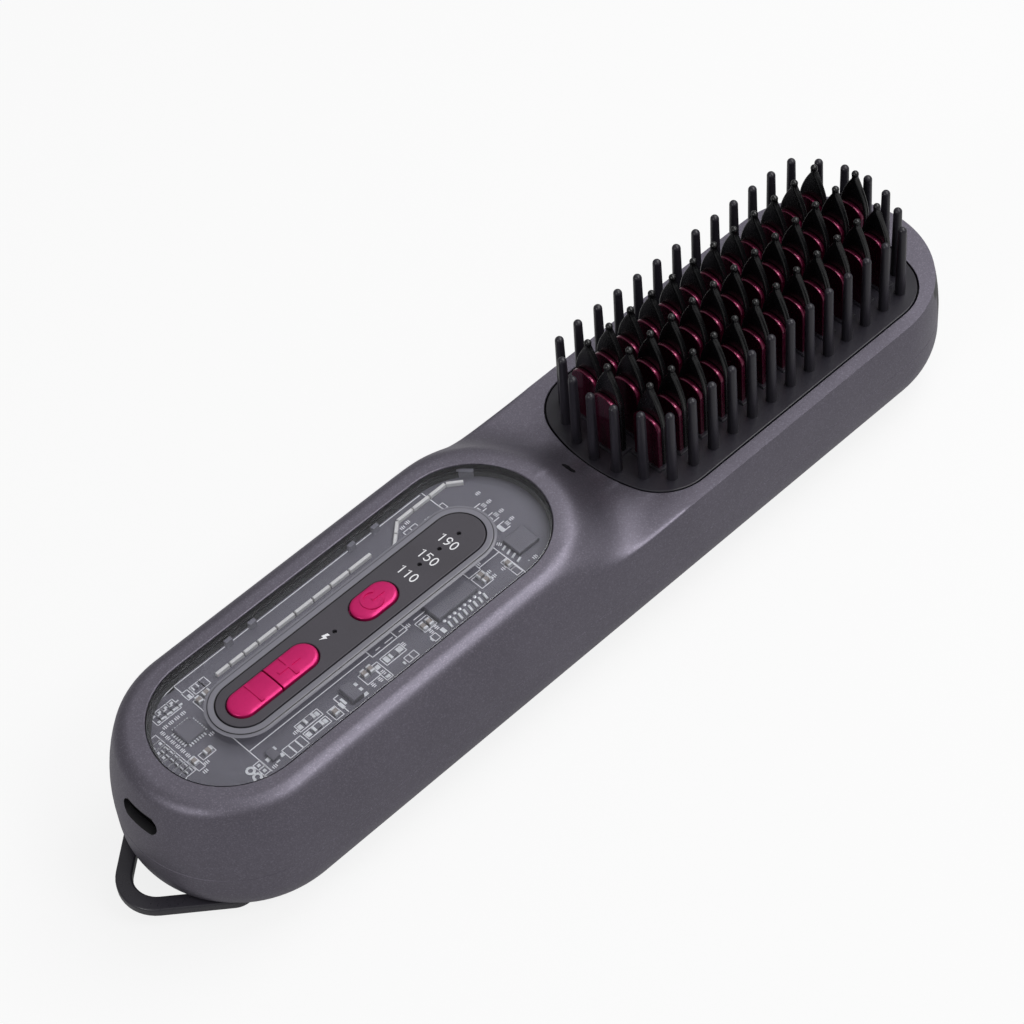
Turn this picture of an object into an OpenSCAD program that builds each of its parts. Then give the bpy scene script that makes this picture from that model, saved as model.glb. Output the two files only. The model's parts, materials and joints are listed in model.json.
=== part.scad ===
// Cordless heated straightening comb with a clear window over its control board.
// X runs from the tail, with the charging socket, to the tip of the comb head. Z points up
// with the teeth. The origin is on the flat of the underside, midway along the body.
// All sizes are in millimetres.

/* [Body] */
// Length of the body from tail to tip
body_l = 220; // [205:1:240]
// Width of the body at the parting line
body_w = 50; // [49:0.5:54]
// Height of the flat deck around the comb
deck_z = 26; // [25.6:0.1:28]
// Height of the parting line between the two housings
part_z = 16; // [14:0.5:17]
// Wall thickness of both housings
wall = 2; // [1.6:0.1:2.2]
// Radius that rounds the underside
base_r = 12; // [11:0.5:13]
// Radius of the gentle bulge of the upper sides
side_r = 50; // [45:1:60]
// Radius of the upper edges
edge_r = 3.6; // [3:0.1:4]
// Height of the raised handle above the deck
rise = 8.5; // [8:0.1:10]

/* [Slope between handle and head] */
// Steepest angle of the slope
slope_angle = 42; // [40:1:44]
// Radius at the top of the slope
slope_top_r = 5.4; // [5:0.1:6]
// Radius at the foot of the slope
slope_foot_r = 11.7; // [11:0.1:12.5]
// Angle of the slope at the ion outlet
slot_angle = 39; // [34:0.5:39]
// Width of the ion outlet
slot_w = 3.2; // [2.8:0.1:3.6]
// Height of the ion outlet
slot_h = 1.2; // [1:0.1:1.6]

/* [Window] */
// Length of the clear cover
window_l = 96.5; // [94:0.5:98]
// Width of the clear cover
window_w = 33.2; // [32:0.2:34]
// Thickness of the clear cover
window_t = 1.6; // [1.2:0.1:1.8]
// Distance from the tail to the clear cover
window_gap = 9.6; // [9:0.1:11]
// Ledge that the clear cover rests on
window_ledge = 0.6; // [0.5:0.1:1.6]
// Depth of the clear cover below the rim
window_sink = 0.15; // [0:0.05:0.3]

/* [Control strip] */
// Length of the dark control strip
strip_l = 68; // [66:0.5:70]
// Width of the dark control strip
strip_w = 11.3; // [10.9:0.1:12.4]
// Thickness of the control strip
strip_t = 1.2; // [1:0.1:1.3]
// Height of the strip above the rim of the window
strip_proud = 0.4; // [0:0.1:0.8]
// Width of the clear wall around the strip
collar_w = 1.6; // [1.2:0.1:1.8]

/* [Buttons] */
// Length of the pair of minus and plus buttons
pair_l = 21.6; // [19:0.1:22]
// Length of the power button
power_l = 10.6; // [8.4:0.1:11]
// Width of the buttons
button_w = 6.4; // [6:0.1:6.8]
// Centre of the pair of buttons from the tail end of the strip
pair_pos = 13; // [12.7:0.1:14]
// Centre of the power button from the tail end of the strip
power_pos = 39.5; // [38:0.1:40.4]
// Height of the buttons above the strip
button_proud = 0.8; // [0.6:0.1:1.2]
// Travel of the buttons
travel = 0.4; // [0.3:0.05:0.5]
// Gap around each button
button_gap = 0.3; // [0.2:0.05:0.4]
// Side of the square body of each switch
switch_w = 4.5; // [4:0.1:5]
// Height of the switch bodies
switch_h = 1.5; // [1.3:0.1:1.5]
// Radius of the switch stems
stem_r = 1; // [0.9:0.05:1.1]
// Radius of the indicator light pipes
pipe_r = 0.7; // [0.5:0.05:0.9]
// Distance between the three temperature lights
light_pitch = 5.4; // [5:0.1:5.6]

/* [Comb head] */
// Length of the comb plate
plate_l = 88.8; // [86:0.2:90]
// Width of the comb plate
plate_w = 40.8; // [39.8:0.2:41.6]
// Bulge of the plate's ends
plate_bulge = 5.6; // [5:0.1:6.4]
// Radius of the plate's corners
plate_corner = 12; // [11:0.2:13]
// Thickness of the comb plate
plate_t = 2; // [1.8:0.1:2.2]
// Distance from the tip of the body to the comb plate
plate_gap = 9; // [8.4:0.1:12]
// Ledge that the comb plate rests on
plate_ledge = 1.4; // [1.2:0.1:1.6]
// Gap around the comb plate
plate_play = 0.2; // [0.15:0.05:0.3]

/* [Teeth] */
// Number of heated teeth in the middle column
teeth_n = 13; // [11:1:13]
// Distance between teeth along the comb
tooth_pitch = 6.24; // [6:0.02:6.3]
// Distance between the columns of teeth
column_y = 8.83; // [8.6:0.01:9]
// Height of the outer tooth tips above the deck
tooth_h = 22.1; // [20:0.1:24]
// Extra height of the middle column
crown = 1.6; // [0:0.1:2]
// Width of a heated fin
fin_w = 7; // [6.6:0.1:7.4]
// Thickness of a heated fin
fin_t = 1.1; // [0.9:0.1:1.3]
// Height of the arch at the top of a fin
fin_arch = 2.8; // [2:0.1:3.4]
// Height of a tooth cap from the crown of its fin to its tip
cap_h = 8.4; // [8:0.1:10]
// Width of a tooth cap, which backs its fin down to the plate
cap_w = 7.4; // [7.2:0.1:7.6]
// Thickness of a tooth cap
cap_t = 1.5; // [1.4:0.1:1.6]
// Radius of the ball at the tip of a tooth cap
tip_r = 0.8; // [0.7:0.05:0.84]
// Height of the collar around the foot of a tooth
foot_h = 2.4; // [1:0.1:3]
// Wall of the collar around the foot of a tooth
foot_wall = 0.5; // [0.4:0.05:0.5]
// Gap between a fin and the plate's slot
slot_gap = 0.15; // [0.1:0.05:0.2]

/* [Guard pins] */
// Number of guard pins along each side, without the corners
pins_n = 11; // [9:1:11]
// Distance between guard pins along each side
pin_pitch = 5.88; // [5.7:0.02:6]
// Distance of the side rows from the middle
pin_y = 16.2; // [16:0.1:16.6]
// Radius of the arc that the end pins stand on
pin_arc_r = 21.4; // [21:0.1:22]
// Angle between end pins
pin_arc_step = 15.75; // [15:0.25:16]
// Height of the guard pins above the deck
pin_h = 19.3; // [17:0.1:21]
// Radius of a guard pin at its foot
pin_foot_r = 1.18; // [1:0.01:1.25]
// Radius of a guard pin at its tip
pin_tip_r = 1; // [0.8:0.01:1]

/* [Heater] */
// Thickness of the heating plate
heat_t = 3; // [2.5:0.1:3.2]
// Air gap between the comb plate and the heating plate
heat_gap = 0.5; // [0.3:0.1:0.6]
// Length of each ceramic heater
ptc_l = 34; // [30:1:35]
// Width of each ceramic heater
ptc_w = 12; // [10:0.5:16]
// Thickness of each ceramic heater
ptc_t = 2.4; // [2:0.1:2.6]
// Thickness of the mica sheet under the heaters
mica_t = 0.4; // [0.3:0.1:0.5]
// Thickness of the clamp that holds the heaters up
clamp_t = 0.8; // [0.6:0.1:1]
// Wall of the heat resistant tray
tray_wall = 1.2; // [1:0.1:1.4]

/* [Battery and boards] */
// Diameter of a battery cell
cell_d = 18.4; // [18:0.1:18.6]
// Length of a battery cell
cell_l = 65.2; // [64:0.1:66]
// Gap between the cells and their cradle
cell_gap = 0.2; // [0.15:0.05:0.3]
// Wall of the battery cradle
cradle_wall = 1.2; // [1:0.1:1.3]
// Thickness of both circuit boards
board_t = 1.6; // [1.2:0.1:1.6]
// Depth of the control board below the rim of the window
board_depth = 3.7; // [3.6:0.1:4]
// Distance from the control board to the sides of the body
board_inset = 5.7; // [5.2:0.1:6]
// Spacing of the grid that the parts on the control board are laid out on
grid = 1; // [0.95:0.01:1]
// Height of the charging socket's centre above the underside
usb_z = 26.5; // [26:0.1:27]
// Width of the charging socket's shell
usb_w = 8.94; // [8.9:0.01:9]
// Height of the charging socket's shell
usb_h = 3.26; // [3.2:0.01:3.3]
// Length of the charging socket's shell
usb_l = 7.35; // [7:0.05:8]
// Gap between the socket's shell and the housing
usb_gap = 0.2; // [0.1:0.05:0.3]

/* [Hanging loop] */
// Width of the loop's strap
strap_w = 3.4; // [3:0.1:3.6]
// Thickness of the loop's strap
strap_t = 2.2; // [2:0.1:2.4]
// Half of the angle at the loop's tip
loop_angle = 40; // [38:1:42]
// Outer radius at the loop's tip
loop_tip_r = 8.8; // [8:0.1:9.4]
// Outer radius at the loop's corners
loop_corner_r = 4.5; // [4.2:0.1:5]
// Half the distance between the centres of the corners
loop_corner_y = 12.6; // [12:0.1:13]
// Distance from the tail to the loop's hinge
hinge_inset = 13.5; // [13:0.1:15]
// Height of the loop's hinge
hinge_z = 5.2; // [5:0.1:5.6]
// Radius of the loop's hinge pin
hinge_r = 0.8; // [0.7:0.05:0.9]
// Radial clearance of the hinge pin in the loop
hinge_fit = 0.06; // [0.03:0.01:0.1]
// Gap between the loop and its recess
loop_gap = 0.4; // [0.3:0.05:0.5]

/* [Screws] */
// Radius of the case screws
screw_r = 1.25; // [1.1:0.05:1.4]
// Radius of the case screws' heads
head_r = 2.4; // [2.2:0.1:2.5]
// Height of the case screws' heads
head_h = 1.6; // [1.4:0.1:2]
// Height of the heads' seats above the underside
seat_z = 6.2; // [6:0.1:6.6]
// Depth that a case screw reaches above the parting line
screw_grip = 5; // [4:0.5:6]
// Radial gap around screws and their heads
screw_gap = 0.2; // [0.15:0.05:0.3]
// Wall around the screws
boss_wall = 1.4; // [1.2:0.1:1.6]
// Thickness of the rubber plugs over the screws
plug_t = 1.4; // [1:0.1:1.6]

/* [Hidden] */

$fn = 64;
gap = 0.05;            // gap between pieces that are pressed together
over = 1;              // how far a cut runs past a face

half_w = body_w / 2;
half_l = body_l / 2;
end_x = half_l - half_w;               // centre of each rounded end
rim_z = deck_z + rise;                 // top of the raised handle
side_c = half_w - side_r;              // centre of the bulge of the sides

window_r = window_w / 2;
window_tail = window_gap - half_l + window_r;      // centres of the window's round ends
window_head = window_tail + window_l - window_w;
window_z = rim_z - window_sink;        // top of the clear cover
window_base = window_z - window_t;
strip_z = rim_z + strip_proud;         // top of the control strip
strip_base = strip_z - strip_t;
strip_r = strip_w / 2;
strip_mid = (window_tail + window_head) / 2;
strip_tail = strip_mid - strip_l / 2 + strip_r;
strip_head = strip_mid + strip_l / 2 - strip_r;
collar_r = strip_r + collar_w;
collar_ledge = 1;                      // ledge of the collar under the strip
frame_w = 1.4;                         // wall of the housing around the board
board_z = rim_z - board_depth;         // top of the control board
board_base = board_z - board_t;
board_r = half_w - board_inset;

button_r = button_w / 2;
button_top = strip_z + button_proud;
lip_t = 0.5;                           // lip that keeps a button under the strip
lip_w = 0.6;
lip_z = strip_base - 0.2 - lip_t;      // underside of the buttons
switch_z = board_z + switch_h;         // top of the switch bodies
stem_base = switch_z - 0.5;
stem_fit = 0.06;                       // radial clearance of a stem in its switch
pair_x = strip_mid - strip_l / 2 + pair_pos;
pair_reach = pair_l / 2 - button_r;
split = 0.3;                           // gap between the minus and plus buttons
minus_x = pair_x - pair_l / 4;
plus_x = pair_x + pair_l / 4;
power_x = strip_mid - strip_l / 2 + power_pos;
power_reach = power_l / 2 - button_r;
led_t = 0.7;
light_x = strip_head - 2 * light_pitch + 0.4;
lights = [(plus_x + power_x) / 2 + 0.2, light_x, light_x + light_pitch,
    light_x + 2 * light_pitch];

plate_x = half_l - plate_gap - plate_l / 2;
plate_base = deck_z - plate_t;
plate_end_r = (pow(plate_w / 2, 2) + pow(plate_bulge, 2)) / (2 * plate_bulge);
ring_w = 1.2;                          // ring of the housing around and under the plate
ring_t = 1.6;
ring_z = plate_base - ring_t;
pin_seat = 1.4;                        // depth of the guard pins in the plate
fin_seat = 1.5;                        // depth of the fins in the heating plate
tooth_t = fin_t + gap + cap_t;         // a fin with its cap behind it
fin_x = (fin_t - tooth_t) / 2;         // middles of both, from the middle of the tooth
cap_x = (tooth_t - cap_t) / 2;
flank_power = 1.7;                     // how a cap narrows towards its neck
neck_w = 1;

heat_inset = 4.9;                      // heating plate, in from the edge of the comb plate
heat_z = plate_base - heat_gap;        // top of the heating plate
ptc_z = heat_z - heat_t;               // top of the ceramic heaters
mica_z = ptc_z - ptc_t;
clamp_top = mica_z - mica_t;
tray_z = clamp_top - clamp_t;          // floor of the heater tray
tray_inset = heat_inset - gap - tray_wall;
ptc_x = ptc_l / 2 + 1;                 // middle of each heater from the middle of the plate
ear_x = (pins_n / 2 - 1) * pin_pitch;  // screws of the tray, midway between guard pins
ear_y = pin_y + 2.4;
ear_t = 1.5;
ear_w = 6;
tray_screw_r = 0.8;
tray_head_r = 1.5;
part_r = (ptc_z - clamp_top) / 2 - gap;     // thermal fuse and temperature sensor
part_y = ptc_w / 2 + 0.6 + part_r;

lead_r = 0.7;
lead_y = ptc_w / 2 - 1.2;
lead_z = mica_z + ptc_t / 2;

cell_r = cell_d / 2;
cell_y = cell_r + cell_gap;
cell_room = 0.8;                       // room between the cells and the board
cell_z = board_base - cell_room - cell_r;
tab_t = 0.3;
tab_w = 6;
boss_r = head_r + screw_gap + boss_wall;
tail_screw_x = -end_x - 2;
screw_y = half_w - 7;
cradle_room = cell_l / 2 + tab_t + gap;
cradle_half_l = cradle_room + cradle_wall;
cradle_x = tail_screw_x + boss_r + 0.7 + cradle_half_l;      // middle of the battery
cradle_half_w = 2 * cell_y + cradle_wall;
cradle_base = cell_z - cell_r - cell_gap - cradle_wall;
rib_x = 20;                            // ribs under the cradle, from its middle

socket_x = -half_l + 2.4;              // mouth of the charging socket
socket_wall = 0.3;
charge_l = 16;
charge_w = 15;
charge_z = usb_z - usb_h / 2 - gap;    // top of the charging board
charge_x = socket_x + 3 + charge_l / 2;
post_x = charge_l / 2 - 2.4;
post_y = charge_w / 2 - 2.4;
post_r = 1.8;
link_x = charge_x + charge_l / 2 - 2;  // connector between the two boards

slope_c = side_c + sqrt(pow(side_r - edge_r, 2) - pow(rim_z - edge_r - part_z, 2));
slope_sin = sin(slope_angle);
slope_cos = cos(slope_angle);
slope_run = (rise - (slope_top_r + slope_foot_r) * (1 - slope_cos)) / slope_sin;
slope_end = slope_c + (slope_top_r + slope_foot_r) * slope_sin + slope_run * slope_cos;
slot_x = window_head + slope_end - slope_foot_r * sin(slot_angle);
slot_z = deck_z + slope_foot_r * (1 - cos(slot_angle)) - gap;
ion_l = 8;
ion_w = 6;
ion_top = plate_base;
ion_x = slot_x - (slot_z - ion_top) * tan(slot_angle);

hinge_x = -half_l + hinge_inset;
barrel_r = strap_w / 2;
loop_corner_x = hinge_x + barrel_r - loop_corner_r;
loop_tip_x = loop_corner_x
    - (loop_corner_y * cos(loop_angle) + loop_corner_r - loop_tip_r) / sin(loop_angle);
recess_z = hinge_z + strap_t / 2 + loop_gap;
recess_half_w = loop_corner_y + loop_corner_r + loop_gap;
recess_wall = 1.4;
scoop_r = norm([barrel_r, strap_t / 2]) + 0.3;     // room for the loop's barrel
pin_grip = 1.2;                        // depth of the hinge pin in each side

lip_h = 1.5;                           // tongue of the lower housing in the upper one
lip_wall = 1.3;
grip_r = screw_r + gap + boss_wall;
screw_top = part_z + screw_grip;
neck_x = window_head + window_r + 7.9;       // screws in the neck, past the window
screws = [[tail_screw_x, screw_y], [neck_x, screw_y], [half_l - 8, 7]];

// Points of an arc about [cx, cy], from angle a0 to angle a1
function arc(cx, cy, r, a0, a1, n = 8, first = 0) =
    [for (i = [first:n]) let (a = a0 + (a1 - a0) * i / n) [cx + r * cos(a), cy + r * sin(a)]];

// Half section of the upper housing up to top_z, set in by inset, down to low
function upper_half(top_z, inset, low = part_z) =
    let (r = edge_r - inset, z = top_z - edge_r, big = side_r - inset,
        c = side_c + sqrt(pow(side_r - edge_r, 2) - pow(z - part_z, 2)),
        a = asin((z - part_z) / (side_r - edge_r)))
    concat([[0, low], [half_w - inset, low]],
        arc(side_c, part_z, big, 0, a, 5, low < part_z ? 0 : 1),
        arc(c, z, r, a, 90, 6, 1), [[0, top_z - inset]]);

// Half section of the lower housing, set in by inset, up to top
function lower_half(inset, top = part_z) =
    concat([[0, top], [half_w - inset, top]],
        arc(half_w - base_r, base_r, base_r - inset, 0, -90, 7), [[0, inset]]);

// Half section of the slope from the handle down to the deck, lowered by drop
function slope_half(drop, low = part_z) =
    concat([[0, low], [slope_end - drop, low]],
        arc(slope_end - drop, deck_z + slope_foot_r - drop - gap, slope_foot_r, 270,
            270 - slope_angle, 5),
        arc(slope_c - drop, rim_z - slope_top_r - drop, slope_top_r, 90 - slope_angle, 90, 4),
        [[0, rim_z - drop]]);

// Outline of the comb plate, set in by inset
function plate_points(inset) =
    let (w = plate_w / 2, c = plate_l / 2 - plate_end_r, yc = w - plate_corner,
        dx = sqrt(pow(plate_end_r - plate_corner, 2) - yc * yc), a = atan2(yc, dx),
        right = concat(arc(c + dx, yc, plate_corner - inset, 90, a, 6),
            arc(c, 0, plate_end_r - inset, a, -a, 8, 1),
            arc(c + dx, -yc, plate_corner - inset, -a, -90, 6, 1)))
    concat(right, [for (p = right) [-p[0], -p[1]]]);

// Outline of the hanging loop, set in by inset
function loop_points(inset) =
    let (b = 90 + loop_angle)
    concat(arc(loop_corner_x, loop_corner_y, loop_corner_r - inset, 0, b, 6),
        arc(loop_tip_x, 0, loop_tip_r - inset, b, 360 - b, 8),
        arc(loop_corner_x, -loop_corner_y, loop_corner_r - inset, 360 - b, 360, 6));

// Teeth: side is 1 for the left column, 0 for the middle and -1 for the right
function tooth_count(side) = teeth_n - abs(side);
function tooth_x(side, i) = plate_x + (i - (tooth_count(side) - 1) / 2) * tooth_pitch;
function crown_z(side) = deck_z + tooth_h + (1 - abs(side)) * crown - cap_h;
function crown_points(side, n = 8) =
    [for (i = [0:n]) [fin_w / 2 * cos(180 * i / n),
        crown_z(side) - fin_arch * (1 - sin(180 * i / n))]];

// Guard pins: two side rows and an arc at each end
arc_n = 3;
pin_row_x = (pins_n - 1) / 2 * pin_pitch;
pin_arc_x = (pins_n + 1) / 2 * pin_pitch - pin_arc_r * cos(arc_n * pin_arc_step);
pins = concat(
    [for (s = [-1, 1], i = [0:pins_n - 1]) [plate_x - pin_row_x + i * pin_pitch, s * pin_y]],
    [for (s = [-1, 1], i = [-arc_n:arc_n]) [plate_x + s * (pin_arc_x
        + pin_arc_r * cos(i * pin_arc_step)), pin_arc_r * sin(i * pin_arc_step)]]);

// A round lead through points, with flat ends
function unit(v) = v / norm(v);
function lead_dir(p, i) = unit(p[min(i + 1, len(p) - 1)] - p[max(i - 1, 0)]);
module lead(p, r, n = 8) {
    rings = [for (i = [0:len(p) - 1]) let (d = lead_dir(p, i), u = unit(cross(d, [0, 1, 0])),
            v = cross(d, u))
        for (k = [0:n - 1]) p[i] + r * (cos(360 * k / n) * u + sin(360 * k / n) * v)];
    last = (len(p) - 1) * n;
    polyhedron(rings, concat([[for (k = [0:n - 1]) k]], [[for (k = [n - 1:-1:0]) last + k]],
        [for (i = [0:len(p) - 2], k = [0:n - 1]) let (a = i * n + k, b = i * n + (k + 1) % n)
            each [[a, a + n, b], [b, a + n, b + n]]]));
}

// Sweep of a half section around a body with round ends at x0 and x1
module around(x0, x1) {
    translate([x0, 0, 0]) rotate([0, 0, 90]) rotate_extrude(angle = 180) children();
    translate([x1, 0, 0]) rotate([0, 0, -90]) rotate_extrude(angle = 180) children();
    along(x0, x1) children();
}

// Straight run of a half section and its mirror image from x0 to x1
module along(x0, x1) {
    translate([x0, 0, 0]) rotate([90, 0, 90]) linear_extrude(x1 - x0) {
        children();
        mirror([1, 0]) children();
    }
}

// Flat outline with round ends of radius r about x0 and x1
module pill(x0, x1, r) {
    translate([x0, 0]) circle(r);
    translate([x1, 0]) circle(r);
    translate([x0, -r]) square([x1 - x0, 2 * r]);
}

// Solid from z0 to z1 with that outline
module pill_block(x0, x1, r, z0, z1) {
    translate([0, 0, z0]) linear_extrude(z1 - z0) pill(x0, x1, r);
}

module plate_block(inset, z0, z1) {
    translate([plate_x, 0, z0]) linear_extrude(z1 - z0) polygon(plate_points(inset));
}

module loop_block(inset, z0, z1) {
    translate([0, 0, z0]) linear_extrude(z1 - z0) polygon(loop_points(inset));
}

// The loop's outline as it hangs out and as it folds in
module loop_both(inset, z0, z1) {
    loop_block(inset, z0, z1);
    translate([2 * hinge_x, 0, 0]) mirror([1, 0, 0]) loop_block(inset, z0, z1);
}

module box(x, y, z0, z1, l, w) {
    translate([x - l / 2, y - w / 2, z0]) cube([l, w, z1 - z0]);
}

module rod(x, y, r, z0, z1) {
    translate([x, y, z0]) cylinder(r = r, h = z1 - z0);
}

module rod_x(y, z, r, x0, x1) {
    translate([x0, y, z]) rotate([0, 90, 0]) cylinder(r = r, h = x1 - x0);
}

module rod_y(x, z, r, half) {
    translate([x, half, z]) rotate([90, 0, 0]) cylinder(r = r, h = 2 * half);
}

module at_screws() {
    for (s = [-1, 1], p = screws) translate([p[0], s * p[1], 0]) children();
}

module at_ears() {
    for (s = [-1, 1], t = [-1, 1]) translate([plate_x + s * ear_x, t * ear_y, 0]) children();
}

module at_slot() {
    translate([slot_x, 0, slot_z]) rotate([0, slot_angle, 0]) children();
}

module at_teeth(side) {
    for (i = [0:tooth_count(side) - 1])
        translate([tooth_x(side, i), side * column_y, 0]) children();
}

// Outer or inner form of the upper housing
module upper_form(inset, low = part_z) {
    around(-end_x, end_x) polygon(upper_half(deck_z, inset, low));
    translate([-end_x, 0, 0]) rotate([0, 0, 90]) rotate_extrude(angle = 180)
        polygon(upper_half(rim_z, inset, low));
    along(-end_x, window_head) polygon(upper_half(rim_z, inset, low));
    intersection() {
        translate([window_head, 0, 0]) rotate([0, 0, -90]) rotate_extrude(angle = 180)
            polygon(slope_half(inset, low));
        along(window_head, end_x) polygon(upper_half(rim_z, inset, low));
    }
}

module lower_form(inset, top = part_z) {
    around(-end_x, end_x) polygon(lower_half(inset, top));
}

module upper_housing() {
    color("#4b484d") difference() {
        union() {
            difference() {
                upper_form(0);
                upper_form(wall, part_z - over);
            }
            plate_block(-ring_w, ring_z, plate_base + over);
            at_ears() rod(0, 0, tray_screw_r + ring_w, ring_z, plate_base);
            pill_block(window_tail, window_head, window_r + frame_w, board_z + gap,
                rim_z - over);
            intersection() {
                upper_form(wall / 2);
                at_screws() rod(0, 0, grip_r, part_z, rim_z);
            }
        }
        plate_block(-plate_play, plate_base, deck_z + over);
        plate_block(plate_ledge, ring_z - over, plate_base + over);
        pill_block(window_tail, window_head, window_r + gap, window_base - gap, rim_z + over);
        pill_block(window_tail, window_head, window_r - window_ledge, board_z - over,
            rim_z + over);
        at_screws() rod(0, 0, screw_r + gap, part_z - over, screw_top + 0.4);
        at_ears() rod(0, 0, tray_screw_r + screw_gap, ring_z - over, plate_base + over);
        translate([socket_x - 4, 0, usb_z]) rotate([90, 0, 90]) linear_extrude(usb_l)
            pill((usb_h - usb_w) / 2, (usb_w - usb_h) / 2, usb_h / 2 + usb_gap);
        at_slot() box(0, 0, -2 * wall, over, slot_h, slot_w);
    }
}

module lower_housing() {
    color("#45434a") {
        lower_shell();
        for (s = [-1, 1], t = [-1, 1]) rod(charge_x + s * post_x, t * post_y, post_r,
            recess_z + recess_wall - gap, charge_z - board_t);
    }
}

// Shell of the lower housing with its recess, bosses and ribs
module lower_shell() {
    difference() {
        intersection() {
            lower_form(0, part_z + lip_h);
            union() {
                difference() {
                    lower_form(0);
                    lower_form(wall, part_z + over);
                }
                difference() {
                    union() {
                        pill_block(-end_x, end_x, half_w - wall / 2, part_z - 3, part_z);
                        pill_block(-end_x, end_x, half_w - wall - gap, part_z - 3,
                            part_z + lip_h);
                    }
                    pill_block(-end_x, end_x, half_w - wall - lip_wall, part_z - 4,
                        part_z + lip_h + over);
                }
                loop_both(-loop_gap - recess_wall, 0, recess_z + recess_wall);
                box(hinge_x, 0, 0, hinge_z + scoop_r + recess_wall, 2 * (scoop_r + recess_wall),
                    2 * (recess_half_w + recess_wall));
                at_screws() rod(0, 0, boss_r, 0, part_z - gap);
                for (s = [-1, 1]) box(cradle_x + s * rib_x, 0, wall / 2, cradle_base, 1.6,
                    2 * (half_w - base_r));
                box(ion_x, 0, wall / 2, part_z, ion_l - 2, ion_w - 1);
            }
        }
        loop_both(-loop_gap, -over, recess_z);
        box(hinge_x, 0, -over, hinge_z, 2 * scoop_r, 2 * recess_half_w);
        rod_y(hinge_x, hinge_z, scoop_r, recess_half_w);
        rod_y(hinge_x, hinge_z, hinge_r + gap / 2, recess_half_w + pin_grip);
        at_screws() rod(0, 0, head_r + screw_gap, -over, seat_z);
        at_screws() rod(0, 0, screw_r + screw_gap, 0, part_z + over);
    }
}

module window_cover() {
    color([0.8, 0.82, 0.86, 0.35]) difference() {
        union() {
            pill_block(window_tail, window_head, window_r, window_base, window_z);
            pill_block(strip_tail, strip_head, collar_r, window_base, strip_z - 0.15);
        }
        pill_block(strip_tail, strip_head, strip_r + gap, strip_base - gap, strip_z + over);
        pill_block(strip_tail, strip_head, strip_r - collar_ledge, window_base - over,
            strip_z + over);
    }
}

module control_strip() {
    color("#3b383e") difference() {
        pill_block(strip_tail, strip_head, strip_r, strip_base, strip_z);
        pill_block(pair_x - pair_reach, pair_x + pair_reach, button_r + button_gap,
            strip_base - over, strip_z + over);
        pill_block(power_x - power_reach, power_x + power_reach, button_r + button_gap,
            strip_base - over, strip_z + over);
        for (x = lights) rod(x, 0, pipe_r + gap, strip_base - over, strip_z + over);
    }
}

// A button with round ends and the lip that keeps it under the strip
module button(x, reach) {
    pill_block(x - reach, x + reach, button_r, lip_z, button_top);
    pill_block(x - reach, x + reach, button_r + lip_w, lip_z, lip_z + lip_t);
}

module pair_half(side) {
    color("#c91f62") intersection() {
        button(pair_x, pair_reach);
        box(pair_x + side * (pair_l + split) / 2, 0, 0, 2 * rim_z, pair_l, body_w);
    }
}

module power_button() {
    color("#c91f62") button(power_x, power_reach);
}

module minus_button() {
    pair_half(-1);
}

module plus_button() {
    pair_half(1);
}

module stem(x) {
    color("#e6e3dc") rod(x, 0, stem_r, stem_base, lip_z);
}

module power_stem() {
    stem(power_x);
}

module minus_stem() {
    stem(minus_x);
}

module plus_stem() {
    stem(plus_x);
}

module switch_bodies() {
    color("#b9bbbd") for (x = [minus_x, plus_x, power_x]) difference() {
        box(x, 0, board_z, switch_z, switch_w, switch_w);
        rod(x, 0, stem_r + stem_fit, stem_base - travel - 0.2, switch_z + over);
    }
}

module light_pipes() {
    color("#141315") for (x = lights) rod(x, 0, pipe_r, board_z + led_t, strip_z);
}

module board_leds() {
    color("#e9e4cf") for (x = lights) box(x, 0, board_z, board_z + led_t, 0.8, 1.6);
}

module control_board() {
    color("#7d7f86") difference() {
        pill_block(window_tail, window_head, board_r, board_base, board_z);
        at_screws() rod(0, 0, grip_r + 0.4, board_base - over, board_z + over);
    }
}

// Small parts soldered on the control board, in steps of its grid: x from the tail end of
// the window, y, length, width
module on_board(parts, height) {
    for (p = parts) box(window_tail + grid * p[0], grid * p[1], board_z, board_z + height,
        grid * p[2], grid * p[3]);
}

module microcontroller() {
    color("#2c2d31") on_board([[-7, 5, 4.6, 4.6]], 0.9);
}

module driver_chip() {
    color("#232428") on_board([[49.2, -8.8, 10.6, 5]], 1.2);
}

module power_chip() {
    color("#232428") on_board([[69.2, -8.4, 5.6, 5]], 1);
}

// Upright pairs, then parts that lie along the board
module capacitors() {
    color("#8f7b5c") {
        on_board([[-11, -1.2, 1, 1.8], [15.2, -12.4, 1, 1.8], [25.2, -9.8, 1, 1.8],
            [26.8, -9.8, 1, 1.8], [41, -9.8, 1, 1.8], [42.6, -9.8, 1, 1.8],
            [63.4, -10.6, 1, 1.8]], 0.8);
        on_board([[-7.6, -1.2, 1.8, 1], [57.6, -8.8, 1.8, 1], [57.6, -10.4, 1.8, 1]], 0.8);
    }
}

// A row and a column near the tail, then single parts along the board
module resistors() {
    color("#3a3a3e") {
        on_board([for (i = [0:3]) [-8.6 + 1.5 * i, 11.6, 0.8, 1.4]], 0.5);
        on_board([for (i = [0:5]) [-13.2, 5 - 1.4 * i, 1.4, 0.8]], 0.5);
        on_board([[0.6, 12.2, 1.5, 0.9], [10.7, -9.8, 2.6, 1.2], [10.7, -12.4, 2.6, 1.2],
            [32.6, -10.4, 2.6, 1.2]], 0.5);
    }
}

// Bar of light on the board from one point to another
module bar(from, to) {
    run = to - from;
    bar_w = 0.9 * grid;
    translate([window_head + grid * from[0], grid * from[1], board_z])
        rotate([0, 0, atan2(run[1], run[0])]) translate([-bar_w / 2, -bar_w / 2, 0])
            cube([grid * norm(run) + bar_w, bar_w, grid]);
}

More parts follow.
